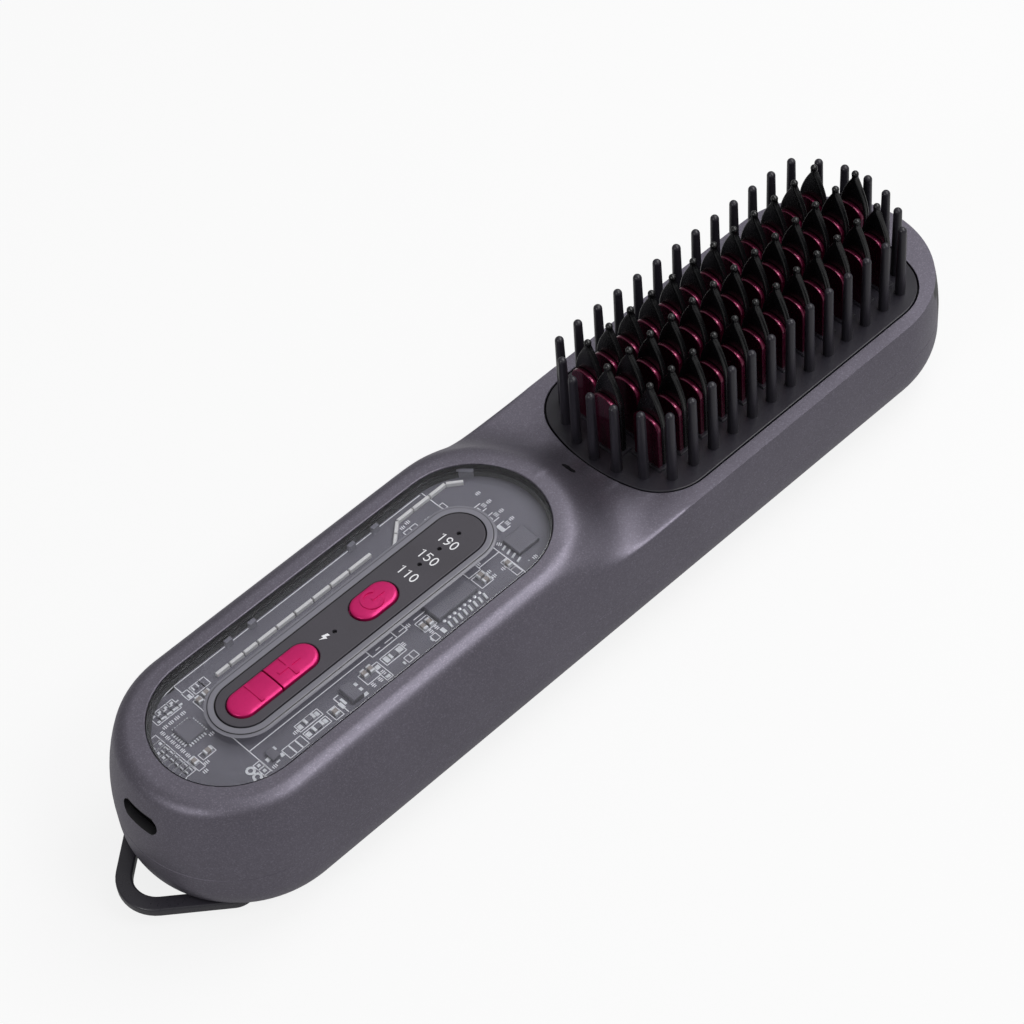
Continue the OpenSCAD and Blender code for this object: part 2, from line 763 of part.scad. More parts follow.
// A long bar beside the buttons and a bent one around the head end
module light_bars() {
    bend = [[-12.6, 9], [-7.6, 13.5], [5.8, 13.5], [8.8, 11.1]];
    color("#eceff2") {
        bar([-57.8, 11.2], [-17.2, 11.2]);
        for (i = [0:2]) bar(bend[i], bend[i + 1]);
    }
}

module board_connector() {
    color("#d8d2c0") box(link_x, 0, charge_z, board_base, 2.5, 7.6);
}

module charge_board() {
    color("#2f5d4a") box(charge_x, 0, charge_z - board_t, charge_z, charge_l, charge_w);
}

// Shell of a charging socket, open at the mouth
module charging_socket() {
    color("#b5b7ba") translate([socket_x, 0, usb_z]) rotate([90, 0, 90]) difference() {
        linear_extrude(usb_l) pill((usb_h - usb_w) / 2, (usb_w - usb_h) / 2, usb_h / 2);
        translate([0, 0, -over]) linear_extrude(usb_l - socket_wall)
            pill((usb_h - usb_w) / 2, (usb_w - usb_h) / 2, usb_h / 2 - socket_wall);
    }
}

module socket_tongue() {
    deep = usb_l - socket_wall - over;
    color("#1b1b1d") translate([socket_x, 0, usb_z]) {
        box(0.8 + (deep - 0.8) / 2, 0, -0.35, 0.35, deep - 0.8, 6.7);
    }
}

// Battery cell with its raised contact at the head end
module battery_cell(side) {
    color("#3d7aa8") {
        rod_x(side * cell_y, cell_z, cell_r, cradle_x - cell_l / 2, cradle_x + cell_l / 2 - 1);
        rod_x(side * cell_y, cell_z, cell_r / 3, cradle_x, cradle_x + cell_l / 2);
    }
}

module battery_cell_left() {
    battery_cell(1);
}

module battery_cell_right() {
    battery_cell(-1);
}

module battery_cradle() {
    inner_r = cell_r + cell_gap;
    color("#d9d4c4") difference() {
        intersection() {
            box(cradle_x, 0, cradle_base, board_base - gap, 2 * cradle_half_l,
                2 * cradle_half_w);
            union() {
                along(-end_x, window_head) polygon(lower_half(wall + lip_wall));
                along(-end_x, window_head) polygon(upper_half(rim_z, wall + 4 * gap));
            }
        }
        for (s = [-1, 1]) {
            rod_x(s * cell_y, cell_z, inner_r, cradle_x - cradle_room, cradle_x + cradle_room);
            box(cradle_x, s * cell_y, cell_z, board_base, 2 * cradle_room, 2 * inner_r);
            box(cradle_x - cradle_half_l, s * cell_y, cell_z, board_base, 3 * cradle_wall, 2.4);
        }
    }
}

// Welded strips: one joins both cells at the head end, and two carry the leads at the tail
module battery_tabs() {
    color("#c9cacc") {
        box(cradle_x + (cell_l + tab_t) / 2, 0, cell_z, cell_z + tab_w, tab_t,
            2 * cell_y + tab_w);
        for (s = [-1, 1]) box(cradle_x - (cell_l + tab_t) / 2, s * cell_y, cell_z,
            cell_z + tab_w, tab_t, tab_w);
    }
}

module battery_lead(side) {
    x = cradle_x - cell_l / 2 - tab_t;
    out = x - cradle_wall - 2.4;
    color(side > 0 ? "#b3262a" : "#1f1f22") lead([[x, side * cell_y, cell_z + 4],
        [x - 1.2, side * cell_y, cell_z + 4], [out, side * cell_y, cell_z + 5.4],
        [out - 0.8, side * cell_y, cell_z + 7], [out - 0.8, side * cell_y, board_base - gap]],
        lead_r);
}

module battery_lead_left() {
    battery_lead(1);
}

module battery_lead_right() {
    battery_lead(-1);
}

// Plate of the comb, with collars around the fins and seats for the guard pins
module comb_plate() {
    color("#2b2a2e") difference() {
        union() {
            plate_block(0, plate_base, deck_z);
            for (side = [-1:1]) at_teeth(side) box(0, 0, deck_z - over, deck_z + foot_h,
                tooth_t + 2 * (slot_gap + foot_wall), cap_w + 2 * (slot_gap + foot_wall));
        }
        for (side = [-1:1]) at_teeth(side) {
            box(fin_x, 0, plate_base - over, deck_z + foot_h + over, fin_t + 2 * slot_gap,
                fin_w + 2 * slot_gap);
            box(cap_x, 0, deck_z, deck_z + foot_h + over, cap_t + 2 * gap, cap_w + 2 * gap);
        }
        for (p = pins) rod(p[0], p[1], pin_foot_r + gap, deck_z - pin_seat, deck_z + over);
        at_ears() rod(0, 0, tray_screw_r + gap, plate_base - over, deck_z - 0.5);
    }
}

module guard_pins() {
    length = pin_h + pin_seat;
    color("#1c1b1f") for (p = pins) translate([p[0], p[1], deck_z - pin_seat])
        rotate_extrude($fn = 24) polygon(concat([[0, 0], [pin_foot_r, 0]],
            arc(0, length - pin_tip_r, pin_tip_r, 0, 90, 5)));
}

module heating_plate() {
    color("#a9abaf") difference() {
        plate_block(heat_inset, ptc_z, heat_z);
        for (side = [-1:1]) at_teeth(side) box(fin_x, 0, heat_z - fin_seat, heat_z + over,
            fin_t + 2 * gap, fin_w + 2 * gap);
    }
}

// Heated fins, arched at the top
module fins(side) {
    color("#b01c58") at_teeth(side) translate([fin_x - fin_t / 2, 0, 0]) rotate([90, 0, 90])
        linear_extrude(fin_t) polygon(concat([[-fin_w / 2, heat_z - fin_seat],
            [fin_w / 2, heat_z - fin_seat]], crown_points(side)));
}

module fins_left() {
    fins(1);
}

module fins_middle() {
    fins(0);
}

module fins_right() {
    fins(-1);
}

// Insulating caps that stand behind the fins, narrow to a neck and end in a ball
module caps(side) {
    ball_z = crown_z(side) + cap_h - tip_r;
    shoulder = crown_z(side) - fin_arch + 0.4;
    flank_h = ball_z - 0.3 - shoulder;
    last = pow(1 - neck_w / cap_w, 1 / flank_power);
    right = concat([[cap_w / 2, deck_z]],
        [for (i = [0:8]) [cap_w / 2 * (1 - pow(last * i / 8, flank_power)),
            shoulder + flank_h * last * i / 8]], [[neck_w / 2, ball_z - 0.3]]);
    color("#1d1c20") at_teeth(side) {
        translate([cap_x - cap_t / 2, 0, 0]) rotate([90, 0, 90]) linear_extrude(cap_t)
            polygon(concat(right, [for (i = [len(right) - 1:-1:0]) [-right[i][0], right[i][1]]]));
        translate([cap_x, 0, ball_z]) sphere(tip_r, $fn = 24);
    }
}

module caps_left() {
    caps(1);
}

module caps_middle() {
    caps(0);
}

module caps_right() {
    caps(-1);
}

module ceramic_heaters() {
    color("#d9cdb8") for (s = [-1, 1]) box(plate_x + s * ptc_x, 0, mica_z, ptc_z, ptc_l, ptc_w);
}

module mica_sheet() {
    color("#b9a27a") box(plate_x, 0, clamp_top, mica_z, 2 * ptc_l + 4, ptc_w);
}

module heater_clamp() {
    color("#9a9c9f") box(plate_x, 0, tray_z, clamp_top, 2 * ptc_l + 3, 2 * (part_y + part_r));
}

module heater_tray() {
    color("#3d2f26") difference() {
        union() {
            plate_block(tray_inset, tray_z - tray_wall, ring_z - gap);
            for (s = [-1, 1]) box(plate_x + s * ear_x, 0, ring_z - gap - ear_t, ring_z - gap,
                ear_w, plate_w + ring_w);
        }
        plate_block(heat_inset + 1, tray_z, ring_z);
        plate_block(heat_inset - gap, ptc_z, ring_z + over);
        at_ears() rod(0, 0, tray_screw_r + screw_gap, ptc_z - over, ring_z + over);
        for (s = [-1, 1]) rod_x(s * lead_y, lead_z, lead_r + 0.3, plate_x - plate_l / 2,
            plate_x - ptc_x - ptc_l / 2);
    }
}

module tray_screws() {
    head_z = ring_z - gap - ear_t;
    color("#c4c6c8") at_ears() {
        rod(0, 0, tray_head_r, head_z - 1, head_z);
        rod(0, 0, tray_screw_r, head_z - 0.5, deck_z - 0.8);
    }
}

module thermal_fuse() {
    color("#e8e4da") rod_x(-part_y, (ptc_z + clamp_top) / 2, part_r, plate_x - 6, plate_x + 6);
}

module temperature_sensor() {
    color("#b58a2c") rod_x(part_y, (ptc_z + clamp_top) / 2, part_r, plate_x - 2, plate_x + 2);
}

// Leads from the heaters to the control board, through the end of the tray
module heater_lead(side) {
    y = side * lead_y;
    start = plate_x - ptc_x - ptc_l / 2;
    out = plate_x - plate_l / 2;
    end = window_head + board_r - 1.5;
    up = board_base - gap - lead_z;
    bend = [[0.4, 0.06], [0.7, 0.26], [0.92, 0.56], [1, 0.8], [1, 1]];
    color(side > 0 ? "#d9d5cb" : "#c43a2a") lead(concat([[start, y, lead_z],
        [(start + out) / 2, y, lead_z], [out, y, lead_z]],
        [for (b = bend) [out + b[0] * (end - out), y, lead_z + b[1] * up]]), lead_r);
}

module heater_lead_left() {
    heater_lead(1);
}

module heater_lead_right() {
    heater_lead(-1);
}

// Ion generator, and the outlet that it feeds in the slope
module ion_generator() {
    color("#26262a") box(ion_x, 0, part_z, ion_top, ion_l, ion_w);
}

module ion_outlet() {
    reach = (slot_z - ion_top) / cos(slot_angle) + 2;
    color("#0f0f11") difference() {
        at_slot() box(0, 0, -reach, -0.4, slot_h - 2 * gap, slot_w - 2 * gap);
        box(ion_x, 0, part_z, ion_top, 2 * ion_l, ion_w);
    }
}

// Hanging loop with the barrel that turns on the hinge pin
module hanging_loop() {
    color("#19181b") difference() {
        union() {
            difference() {
                loop_block(0, hinge_z - strap_t / 2, hinge_z + strap_t / 2);
                loop_block(strap_w, hinge_z - strap_t, hinge_z + strap_t);
            }
            rod_y(hinge_x, hinge_z, barrel_r, loop_corner_y + loop_corner_r - 0.8);
        }
        rod_y(hinge_x, hinge_z, hinge_r + hinge_fit, recess_half_w);
    }
}

module hinge_pin() {
    color("#b7b9bc") rod_y(hinge_x, hinge_z, hinge_r, recess_half_w + pin_grip - 0.1);
}

module case_screws() {
    color("#b7b9bc") at_screws() {
        rod(0, 0, head_r, seat_z - head_h, seat_z);
        rod(0, 0, screw_r, seat_z - over, screw_top);
    }
}

module screw_plugs() {
    color("#2a292c") at_screws() rod(0, 0, head_r + screw_gap - gap,
        seat_z - head_h - gap - plug_t, seat_z - head_h - gap);
}

upper_housing();
lower_housing();
window_cover();
control_strip();
power_button();
minus_button();
plus_button();
power_stem();
minus_stem();
plus_stem();
switch_bodies();
light_pipes();
board_leds();
control_board();
microcontroller();
driver_chip();
power_chip();
capacitors();
resistors();
light_bars();
board_connector();
charge_board();
charging_socket();
socket_tongue();
battery_cell_left();
battery_cell_right();
battery_cradle();
battery_tabs();
battery_lead_left();
battery_lead_right();
comb_plate();
guard_pins();
heating_plate();
fins_left();
fins_middle();
fins_right();
caps_left();
caps_middle();
caps_right();
ceramic_heaters();
mica_sheet();
heater_clamp();
heater_tray();
tray_screws();
thermal_fuse();
temperature_sensor();
heater_lead_left();
heater_lead_right();
ion_generator();
ion_outlet();
hanging_loop();
hinge_pin();
case_screws();
screw_plugs();
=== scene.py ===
# Cordless straightening comb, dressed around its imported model. Geometry is worked out in
# millimetres, in the frame of the model, and written to the meshes in metres.
import json
import math

import bmesh
import bpy
import numpy as np
from bpy.props import FloatProperty, FloatVectorProperty, IntProperty, PointerProperty
from mathutils import Matrix, Vector


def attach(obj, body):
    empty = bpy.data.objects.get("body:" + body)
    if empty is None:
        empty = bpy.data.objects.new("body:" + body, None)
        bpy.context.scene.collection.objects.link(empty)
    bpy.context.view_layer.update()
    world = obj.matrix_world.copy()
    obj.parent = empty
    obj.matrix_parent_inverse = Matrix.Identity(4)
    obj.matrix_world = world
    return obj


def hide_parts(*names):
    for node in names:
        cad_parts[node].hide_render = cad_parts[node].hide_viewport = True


bl_info = {
    "name": "Straightening comb",
    "version": (1, 0, 0),
    "blender": (4, 5, 0),
    "location": "View3D > Sidebar > Comb",
    "description": "Builds a cordless heated straightening comb around its packed model",
    "category": "Add Mesh",
}

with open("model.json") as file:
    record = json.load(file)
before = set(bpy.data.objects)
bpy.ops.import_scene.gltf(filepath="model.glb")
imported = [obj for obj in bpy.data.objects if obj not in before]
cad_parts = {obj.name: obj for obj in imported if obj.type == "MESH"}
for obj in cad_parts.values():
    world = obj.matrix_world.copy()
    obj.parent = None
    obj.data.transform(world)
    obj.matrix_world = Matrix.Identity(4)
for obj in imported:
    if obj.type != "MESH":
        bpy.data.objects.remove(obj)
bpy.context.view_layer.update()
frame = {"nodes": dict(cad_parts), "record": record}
MM = 0.001


# ---------------------------------------------------------------- sizes and colours


def length(name, description, mm):
    """A length in the sidebar, given in millimetres."""
    return FloatProperty(name=name, description=description, default=mm * MM, min=0.0,
                         subtype="DISTANCE", unit="LENGTH", precision=5)


def colour(name, description, code):
    """A colour in the sidebar, given as an sRGB hex code."""
    return FloatVectorProperty(name=name, description=description, default=linear(code),
                               min=0.0, max=1.0, size=3, subtype="COLOR")


def linear(code):
    """Linear colour of an sRGB hex code."""
    parts = [int(code[i:i + 2], 16) / 255 for i in (1, 3, 5)]
    return tuple(c / 12.92 if c <= 0.04045 else ((c + 0.055) / 1.055) ** 2.4 for c in parts)


def opaque(code):
    """Linear colour of an sRGB hex code, with full cover."""
    return *linear(code), 1.0


class CombSizes(bpy.types.PropertyGroup):
    """Sizes of the comb's pieces"""

    teeth: IntProperty(name="Teeth", description="Teeth in the middle column", default=13,
                       min=1)
    tooth_pitch: length("Tooth pitch", "Distance between teeth along the comb", 6.24)
    column_gap: length("Column distance", "Distance between the columns of teeth", 8.83)
    fin_width: length("Fin width", "Width of a heated fin", 7.0)
    fin_thickness: length("Fin thickness", "Thickness of a heated fin", 1.1)
    fin_arch: length("Fin arch", "Height of the arch at the top of a fin", 2.8)
    cap_width: length("Cap width", "Width of a tooth cap", 7.4)
    cap_thickness: length("Cap thickness", "Thickness of a tooth cap", 1.5)
    cap_height: length("Cap height", "Height of a cap's tip above the crown of its fin", 8.4)
    ball_radius: length("Ball radius", "Radius of the ball at the tip of a cap", 0.8)
    crown_height: length("Crown height", "Height of the outer fins above the deck", 13.7)
    crown_rise: length("Crown rise", "Extra height of the middle column", 1.6)
    pin_pitch: length("Pin pitch", "Distance between guard pins along a side", 5.88)
    pin_row: length("Pin row", "Distance of the side rows of pins from the middle", 16.2)
    pin_arc: length("Pin arc", "Radius of the arc that the end pins stand on", 21.4)
    pin_height: length("Pin height", "Height of the guard pins above the deck", 19.3)
    pin_foot: length("Pin foot", "Radius of a guard pin at its foot", 1.18)
    pin_tip: length("Pin tip", "Radius of a guard pin at its tip", 0.95)
    edge_round: length("Upper edge", "Radius of the upper edges of the body", 3.6)
    base_round: length("Lower edge", "Radius that rounds the underside", 12.0)
    parting: length("Parting chamfer", "Chamfer of both housings at the parting line", 0.12)
    figures: length("Figures", "Width of a printed temperature", 4.9)
    strap_round: length("Strap rounding", "Rounding of the hanging loop's strap", 0.45)


class CombColours(bpy.types.PropertyGroup):
    """Colours of the comb's finishes"""

    paint: colour("Paint", "Metallic paint of the housings", "#6E6A75")
    button: colour("Buttons", "Lacquer of the buttons", "#C81860")
    fin: colour("Fins", "Anodised fins", "#6A0E38")
    nylon: colour("Nylon", "Comb plate and guard pins", "#27252C")
    cap: colour("Caps", "Tooth caps", "#0C0C0E")
    strip: colour("Strip", "Control strip", "#3E3B42")
    board: colour("Board", "Solder resist of the control board", "#5A5862")
    print: colour("Print", "Printed figures and lines", "#E6E6EA")
    loop: colour("Loop", "Hanging loop", "#302E35")


def size(name):
    """A size of the comb in millimetres."""
    return getattr(bpy.context.scene.comb_sizes, name) / MM


def tint(name):
    """A colour of the comb, linear."""
    return tuple(getattr(bpy.context.scene.comb_colours, name))


# ---------------------------------------------------------------- the body, in millimetres

# Outside of the body. Its round ends turn about END_X. PART_Z is the height of the parting
# line, DECK_Z of the deck around the comb and RIM_Z of the rim around the window.
HALF_L, HALF_W = 110.0, 25.0
END_X = HALF_L - HALF_W
PART_Z, DECK_Z, RIM_Z = 16.0, 26.0, 34.5
WALL, SIDE_R = 2.0, 50.0            # thickness of the shells, radius of the bulging sides
FIT = 0.02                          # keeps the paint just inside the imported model
ROLL = (4.5, 9.5)                   # width and height over which the deck's edge rolls off
EDGE_ANGLES = np.arange(14.2, 47.0, 0.4)    # degrees at which the rounded upper edges lie
FAR, HALVINGS = 60.0, 34            # length of a ray, and how often it is halved

# Slope from the window's head end down to the deck: its angle, the radii at its top and foot,
# and the distances from the window at which it starts and ends
SLOPE_ANGLE, SLOPE_TOP_R, SLOPE_FOOT_R, SLOPE_START, SLOPE_END = 42.0, 5.4, 11.7, 18.94, 34.94

# Softening of the neck: where it starts and ends, the length over which it sets in, its
# rounds, and the rounds in which it also works across the body
NECK, NECK_FADE, ROUNDS, ROUNDS_ACROSS = (-25.0, 19.0), 4.0, 34, 10

# Window, control strip and the clear wall around it. A pair of x values holds the centres of
# the round ends.
WINDOW, WINDOW_R, COVER_Z = (-83.8, -20.5), 16.6, (32.75, 34.35)
STRIP, STRIP_R, STRIP_Z = (-80.5, -23.8), 5.65, (33.7, 34.9)
COLLAR_R = 7.25
FRAME_R, FRAME_Z = (18.0, 14.0), (30.85, 33.4)      # ring that carries the window cover
BOARD_Z = 30.8                      # face of the control board

# Buttons: radius, gap around them, heights of the top and of the lip, centre and half length
# of the straight part, and the split between minus and plus
BUTTON_R, BUTTON_GAP, BUTTON_TOP, LIP_Z = 3.2, 0.3, 35.7, 33.0
PAIR_X, PAIR_REACH, SPLIT = -73.15, 7.6, 0.3
POWER_X, POWER_REACH = -46.65, 2.1
MINUS_X, PLUS_X, MARK_ARM = -77.8, -68.9, 2.7
MARK_FOOT, MARK_HEAD = 0.46, 0.36   # half width of a raised mark's bars below and above

# Printed figures and lights of the strip
LIGHTS = (-57.0, -34.2, -28.8, -23.4)
FIGURES = (("110", -37.35), ("150", -31.8), ("190", -26.3))
FIGURE_W, DIGIT_STEP, STROKE_W = 4.9, 1.75, 0.27
BOLT_X, BOLT_Y = -59.4, 0.45
BOLT = ((-0.2, 1.15), (-0.65, -0.15), (-0.05, -0.15), (-0.3, -1.15), (0.7, 0.3), (0.1, 0.3),
        (0.5, 1.15))

# Comb plate, its seat, the teeth and the guard pins
PLATE_X, PLATE_L, PLATE_W, PLATE_BULGE, PLATE_CORNER = 56.6, 88.8, 40.8, 5.6, 12.0
PLATE_BASE, RING_Z, RING_TOP, HEAT_FOOT = 24.0, 22.4, 25.0, 22.0
TOOTH_GAP = 0.05                    # between a fin and its cap
CAP_NECK, CAP_CURVE = 0.5, 1.7      # half width of a cap's neck, power of its flank's curve
SIDE_PINS, END_PINS, PIN_STEP = 11, 7, 15.75        # in a side row, on an arc, and degrees

# Charging port and ion outlet: place, half length of the straight part, radius
SOCKET_X, SOCKET_Z, SOCKET_HALF, SOCKET_R = -107.6, 26.5, 2.84, 1.63
PORT_R = SOCKET_R + 0.42
CONTACTS, CONTACT_STEP, CONTACT_HALF = 12, 0.5, 0.13
ION_PLACE, ION_TILT, ION_SPAN, ION_R = (7.077, 0, 28.557), 39.0, (-0.85, 0.85), 0.9

# Hanging loop: its hinge and the recess it folds into, the middles and radii of its corners,
# the turn from the straight side into the tip, and the width and half thickness of its strap
HINGE_X, HINGE_Z, RECESS_Z, BARREL_ROOM, BORE_R = -96.5, 5.2, 6.7, 2.32, 0.86
LOOP_CORNER, LOOP_CORNER_R = (-99.3, 12.6), 4.5
LOOP_TIP, LOOP_TIP_R, LOOP_BEND = -107.627, 8.8, 130
STRAP_W, STRAP_HALF = 3.4, 1.1

# Screws of the case, mirrored across the body: places, radii of boss and well, height of seat
SCREWS = ((-87.0, 18.0), (4.0, 18.0), (102.0, 7.0))
BOSS_R, WELL_R, SEAT_Z = 4.0, 2.6, 6.2

# Turns a piece from upright to across the body, about the hinge of the loop
HINGE_TURN = Matrix.Translation((HINGE_X, 0, HINGE_Z)) @ Matrix.Rotation(math.pi / 2, 4, "X")


# ---------------------------------------------------------------- mesh tools


def add(tree, kind, inputs=None, **settings):
    """Adds a node, sets its properties and feeds its inputs with values or sockets."""
    made = tree.nodes.new(kind)
    for key, value in settings.items():
        setattr(made, key, value)
    for key, value in (inputs or {}).items():
        if isinstance(value, bpy.types.NodeSocket):
            tree.links.new(value, made.inputs[key])
        else:
            made.inputs[key].default_value = value
    return made


def loose(name, points, faces):
    """An object whose mesh has its points given in millimetres."""
    mesh = bpy.data.meshes.new(name)
    mesh.from_pydata([tuple(c * MM for c in p) for p in points], [], faces)
    obj = bpy.data.objects.new(name, mesh)
    bpy.context.scene.collection.objects.link(obj)
    return obj


def tidy(obj, merge=0.002):
    """Merges points closer than merge, in millimetres, and turns all faces outwards."""
    bm = bmesh.new()
    bm.from_mesh(obj.data)
    if merge:
        bmesh.ops.remove_doubles(bm, verts=bm.verts, dist=merge * MM)
        bmesh.ops.dissolve_degenerate(bm, edges=bm.edges, dist=merge * MM / 4)
    bmesh.ops.recalc_face_normals(bm, faces=bm.faces)
    bm.to_mesh(obj.data)
    bm.free()
    return obj


def loft(name, loops, ring=False):
    """Skins a row of equal loops. Either ring joins the last loop to the first, or both ends
    are closed."""
    n = len(loops[0])
    points = [p for loop in loops for p in loop]
    faces = []
    for k in range(len(loops) if ring else len(loops) - 1):
        a, b = k * n, (k + 1) % len(loops) * n
        faces += [(a + i, a + (i + 1) % n, b + (i + 1) % n, b + i) for i in range(n)]
    if not ring:
        faces.append(tuple(range(n)))
        faces.append(tuple(range(len(points) - n, len(points)))[::-1])
    return tidy(loose(name, points, faces))


def arc(cx, cy, r, a0, a1, n):
    """Points of an arc about (cx, cy), from a0 to a1 degrees."""
    return [(cx + r * math.cos(math.radians(a)), cy + r * math.sin(math.radians(a)))
            for a in np.linspace(a0, a1, n)]


def pill(x0, x1, r, z, n=28):
    """Loop of points with round ends of radius r about x0 and x1."""
    line = arc(x0, 0.0, r, 90, 270, n + 1) + arc(x1, 0.0, r, -90, 90, n + 1)
    return [(x, y, z) for x, y in line]


def ring_rows(first, last, low, high):
    """Corners of the square section of a ring."""
    return (first, low), (first, high), (last, high), (last, low)


def pill_solid(name, span, rows, n=28):
    """Solid with round ends from rows of (radius, height)."""
    return loft(name, [pill(*span, r, z, n) for r, z in rows])


def box_solid(name, low, high, chamfer=0.0):
    """Box with its upper edges chamfered."""
    (x0, y0, z0), (x1, y1, z1) = low, high
    rows = [(0.0, z0), (0.0, z1 - chamfer), (chamfer, z1)] if chamfer else [(0.0, z0), (0.0, z1)]
    return loft(name, [[(x0 + c, y0 + c, z), (x1 - c, y0 + c, z), (x1 - c, y1 - c, z),
                        (x0 + c, y1 - c, z)] for c, z in rows])


def blocks(name, rows):
    """One mesh of small blocks. A row is x, y, length, width, foot and top, and may go on with
    a turn in degrees and the chamfer of the upper edges."""
    points, faces = [], []
    for x, y, l, w, foot, top, *rest in rows:
        turn, chamfer = (list(rest) + [0.0, 0.0])[:2]
        c, s = math.cos(math.radians(turn)), math.sin(math.radians(turn))
        first = len(points)
        for inset, z in ((0.0, foot), (0.0, top - chamfer), (chamfer, top)):
            a, b = l / 2 - inset, w / 2 - inset
            points += [(x + u * c - v * s, y + u * s + v * c, z)
                       for u, v in ((-a, -b), (a, -b), (a, b), (-a, b))]
        if not chamfer:
            del points[-4:]
        count = (len(points) - first) // 4
        for k in range(count - 1):
            m = first + 4 * k
            faces += [(m + i, m + (i + 1) % 4, m + 4 + (i + 1) % 4, m + 4 + i)
                      for i in range(4)]
        faces += [(first + 3, first + 2, first + 1, first),
                  tuple(first + 4 * (count - 1) + i for i in range(4))]
    return tidy(loose(name, points, faces), 0)


def turned(name, rows, n=24, centre=(0.0, 0.0), ring=False):
    """Solid of revolution about a vertical axis from rows of (radius, height)."""
    return loft(name, [[(centre[0] + r * math.cos(a), centre[1] + r * math.sin(a), z)
                        for a in np.linspace(0, 2 * math.pi, n, endpoint=False)]
                       for r, z in rows], ring)


def shift(obj, matrix):
    """Moves the mesh of an object by a matrix whose offset is in millimetres."""
    moved = matrix.copy()
    moved.translation *= MM
    obj.data.transform(moved)
    if moved.determinant() < 0:
        obj.data.flip_normals()
    return obj


def merged(name, parts):
    """One object from several."""
    bm = bmesh.new()
    for part in parts:
        bm.from_mesh(part.data)
        bpy.data.objects.remove(part)
    mesh = bpy.data.meshes.new(name)
    bm.to_mesh(mesh)
    bm.free()
    obj = bpy.data.objects.new(name, mesh)
    bpy.context.scene.collection.objects.link(obj)
    return obj


def settled(obj):
    """Replaces the mesh of an object by what its modifiers make of it."""
    shaped = obj.evaluated_get(bpy.context.evaluated_depsgraph_get())
    mesh = bpy.data.meshes.new_from_object(shaped)
    obj.modifiers.clear()
    obj.data = mesh
    return obj


def combine(obj, tools, operation="DIFFERENCE"):
    """Cuts closed tools out of an object, or joins them to it."""
    for tool in tools:
        change = obj.modifiers.new("combine", "BOOLEAN")
        change.operation = operation
        change.solver = "MANIFOLD"
        change.object = tool
        settled(obj)
        bpy.data.objects.remove(tool)
    if not obj.data.polygons:
        raise RuntimeError(f"nothing is left of {obj.name}")
    return obj


def finish(obj, name, body, material, replaces=(), sharp=30.0):
    """Names, shades and dresses a finished piece and puts it on its body."""
    obj.name = name
    obj.data.name = name
    obj.data.materials.clear()
    obj.data.materials.append(material)
    for polygon in obj.data.polygons:
        polygon.material_index = 0
    obj.data.shade_smooth()
    obj.data.set_sharp_from_angle(angle=math.radians(sharp))
    level = obj.modifiers.new("level", "WEIGHTED_NORMAL")
    level.keep_sharp = True
    settled(obj).data.name = name
    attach(obj, body)
    if replaces:
        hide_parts(*replaces)
    return obj


def second(obj, material, test):
    """Gives another material to the faces whose middle, in millimetres, passes a test."""
    obj.data.materials.append(material)
    for polygon in obj.data.polygons:
        if test(*(c / MM for c in polygon.center)):
            polygon.material_index = len(obj.data.materials) - 1


def off_line(x, y, span):
    """Distance from the line between the two centres of a pill."""
    return math.hypot(x - min(max(x, span[0]), span[1]), y)


# ---------------------------------------------------------------- sections of the body


def in_upper(r, z, top, inset):
    """Whether points of a cross section lie under a roof at height top: within the bulging
    side, the rounded edge above it and, under the deck, the quarter ellipse of its roll."""
    edge = size("edge_round")
    side = HALF_W - SIDE_R
    middle = top - edge
    reach = SIDE_R - edge
    c = side + math.sqrt(reach ** 2 - (middle - PART_Z) ** 2)
    a = math.asin((middle - PART_Z) / reach)
    low = np.arctan2(z - PART_Z, r - side) <= a
    bulge = np.hypot(r - side, z - PART_Z) <= SIDE_R - inset
    corner = np.where(r <= c, z <= top - inset, np.hypot(r - c, z - middle) <= edge - inset)
    inside = np.where(low, bulge, corner)
    if top == DECK_Z:
        wide, tall = ROLL
        out, up = r - HALF_W + wide, z - DECK_Z + tall
        rolled = (out / (wide - inset)) ** 2 + (up / (tall - inset)) ** 2 <= 1.0
        inside &= rolled | (out < 0.0) | (up < 0.0)
    return inside


def in_lower(r, z, inset):
    """Whether points of a cross section lie within the lower housing."""
    base = size("base_round")
    c = HALF_W - base
    corner = np.where((r > c) & (z < base), np.hypot(r - c, z - base) <= base - inset, True)
    return (z >= inset) & (r <= HALF_W - inset) & corner


def slope_height(distance, drop):
    """Height of the slope at a distance from the head end of the window."""
    foot = arc(SLOPE_END - drop, DECK_Z + SLOPE_FOOT_R - drop, SLOPE_FOOT_R, 270,
               270 - SLOPE_ANGLE, 16)
    top = arc(SLOPE_START - drop, RIM_Z - SLOPE_TOP_R - drop, SLOPE_TOP_R, 90 - SLOPE_ANGLE,
              90, 12)
    line = (foot + top)[::-1]
    return np.interp(distance, [p[0] for p in line], [p[1] for p in line])


def ray(inside, angles, shape):
    """Distance from the middle of the parting plane to the skin, by halving."""
    low, high = np.zeros(shape), np.full(shape, FAR)
    for _ in range(HALVINGS):
        mid = (low + high) / 2
        hit = inside(mid * np.cos(angles), PART_Z + mid * np.sin(angles))
        low, high = np.where(hit, mid, low), np.where(hit, high, mid)
    return low


def stations(fine):
    """Places around the body, each a foot on the middle line and a direction outwards. They
    lie fine apart along the neck."""
    neck = np.arange(-24.0, 18.0, fine)
    run = np.concatenate([np.linspace(-END_X, -24.5, 12), neck, np.linspace(18.5, END_X, 10)])
    turn = np.linspace(0, math.pi, 50)[1:-1]
    places = [(x, 0.0, 1.0) for x in run[::-1]]
    places += [(-END_X, -math.sin(a), math.cos(a)) for a in turn]
    places += [(x, 0.0, -1.0) for x in run]
    places += [(END_X, math.sin(a), -math.cos(a)) for a in turn]
    return np.array(places)


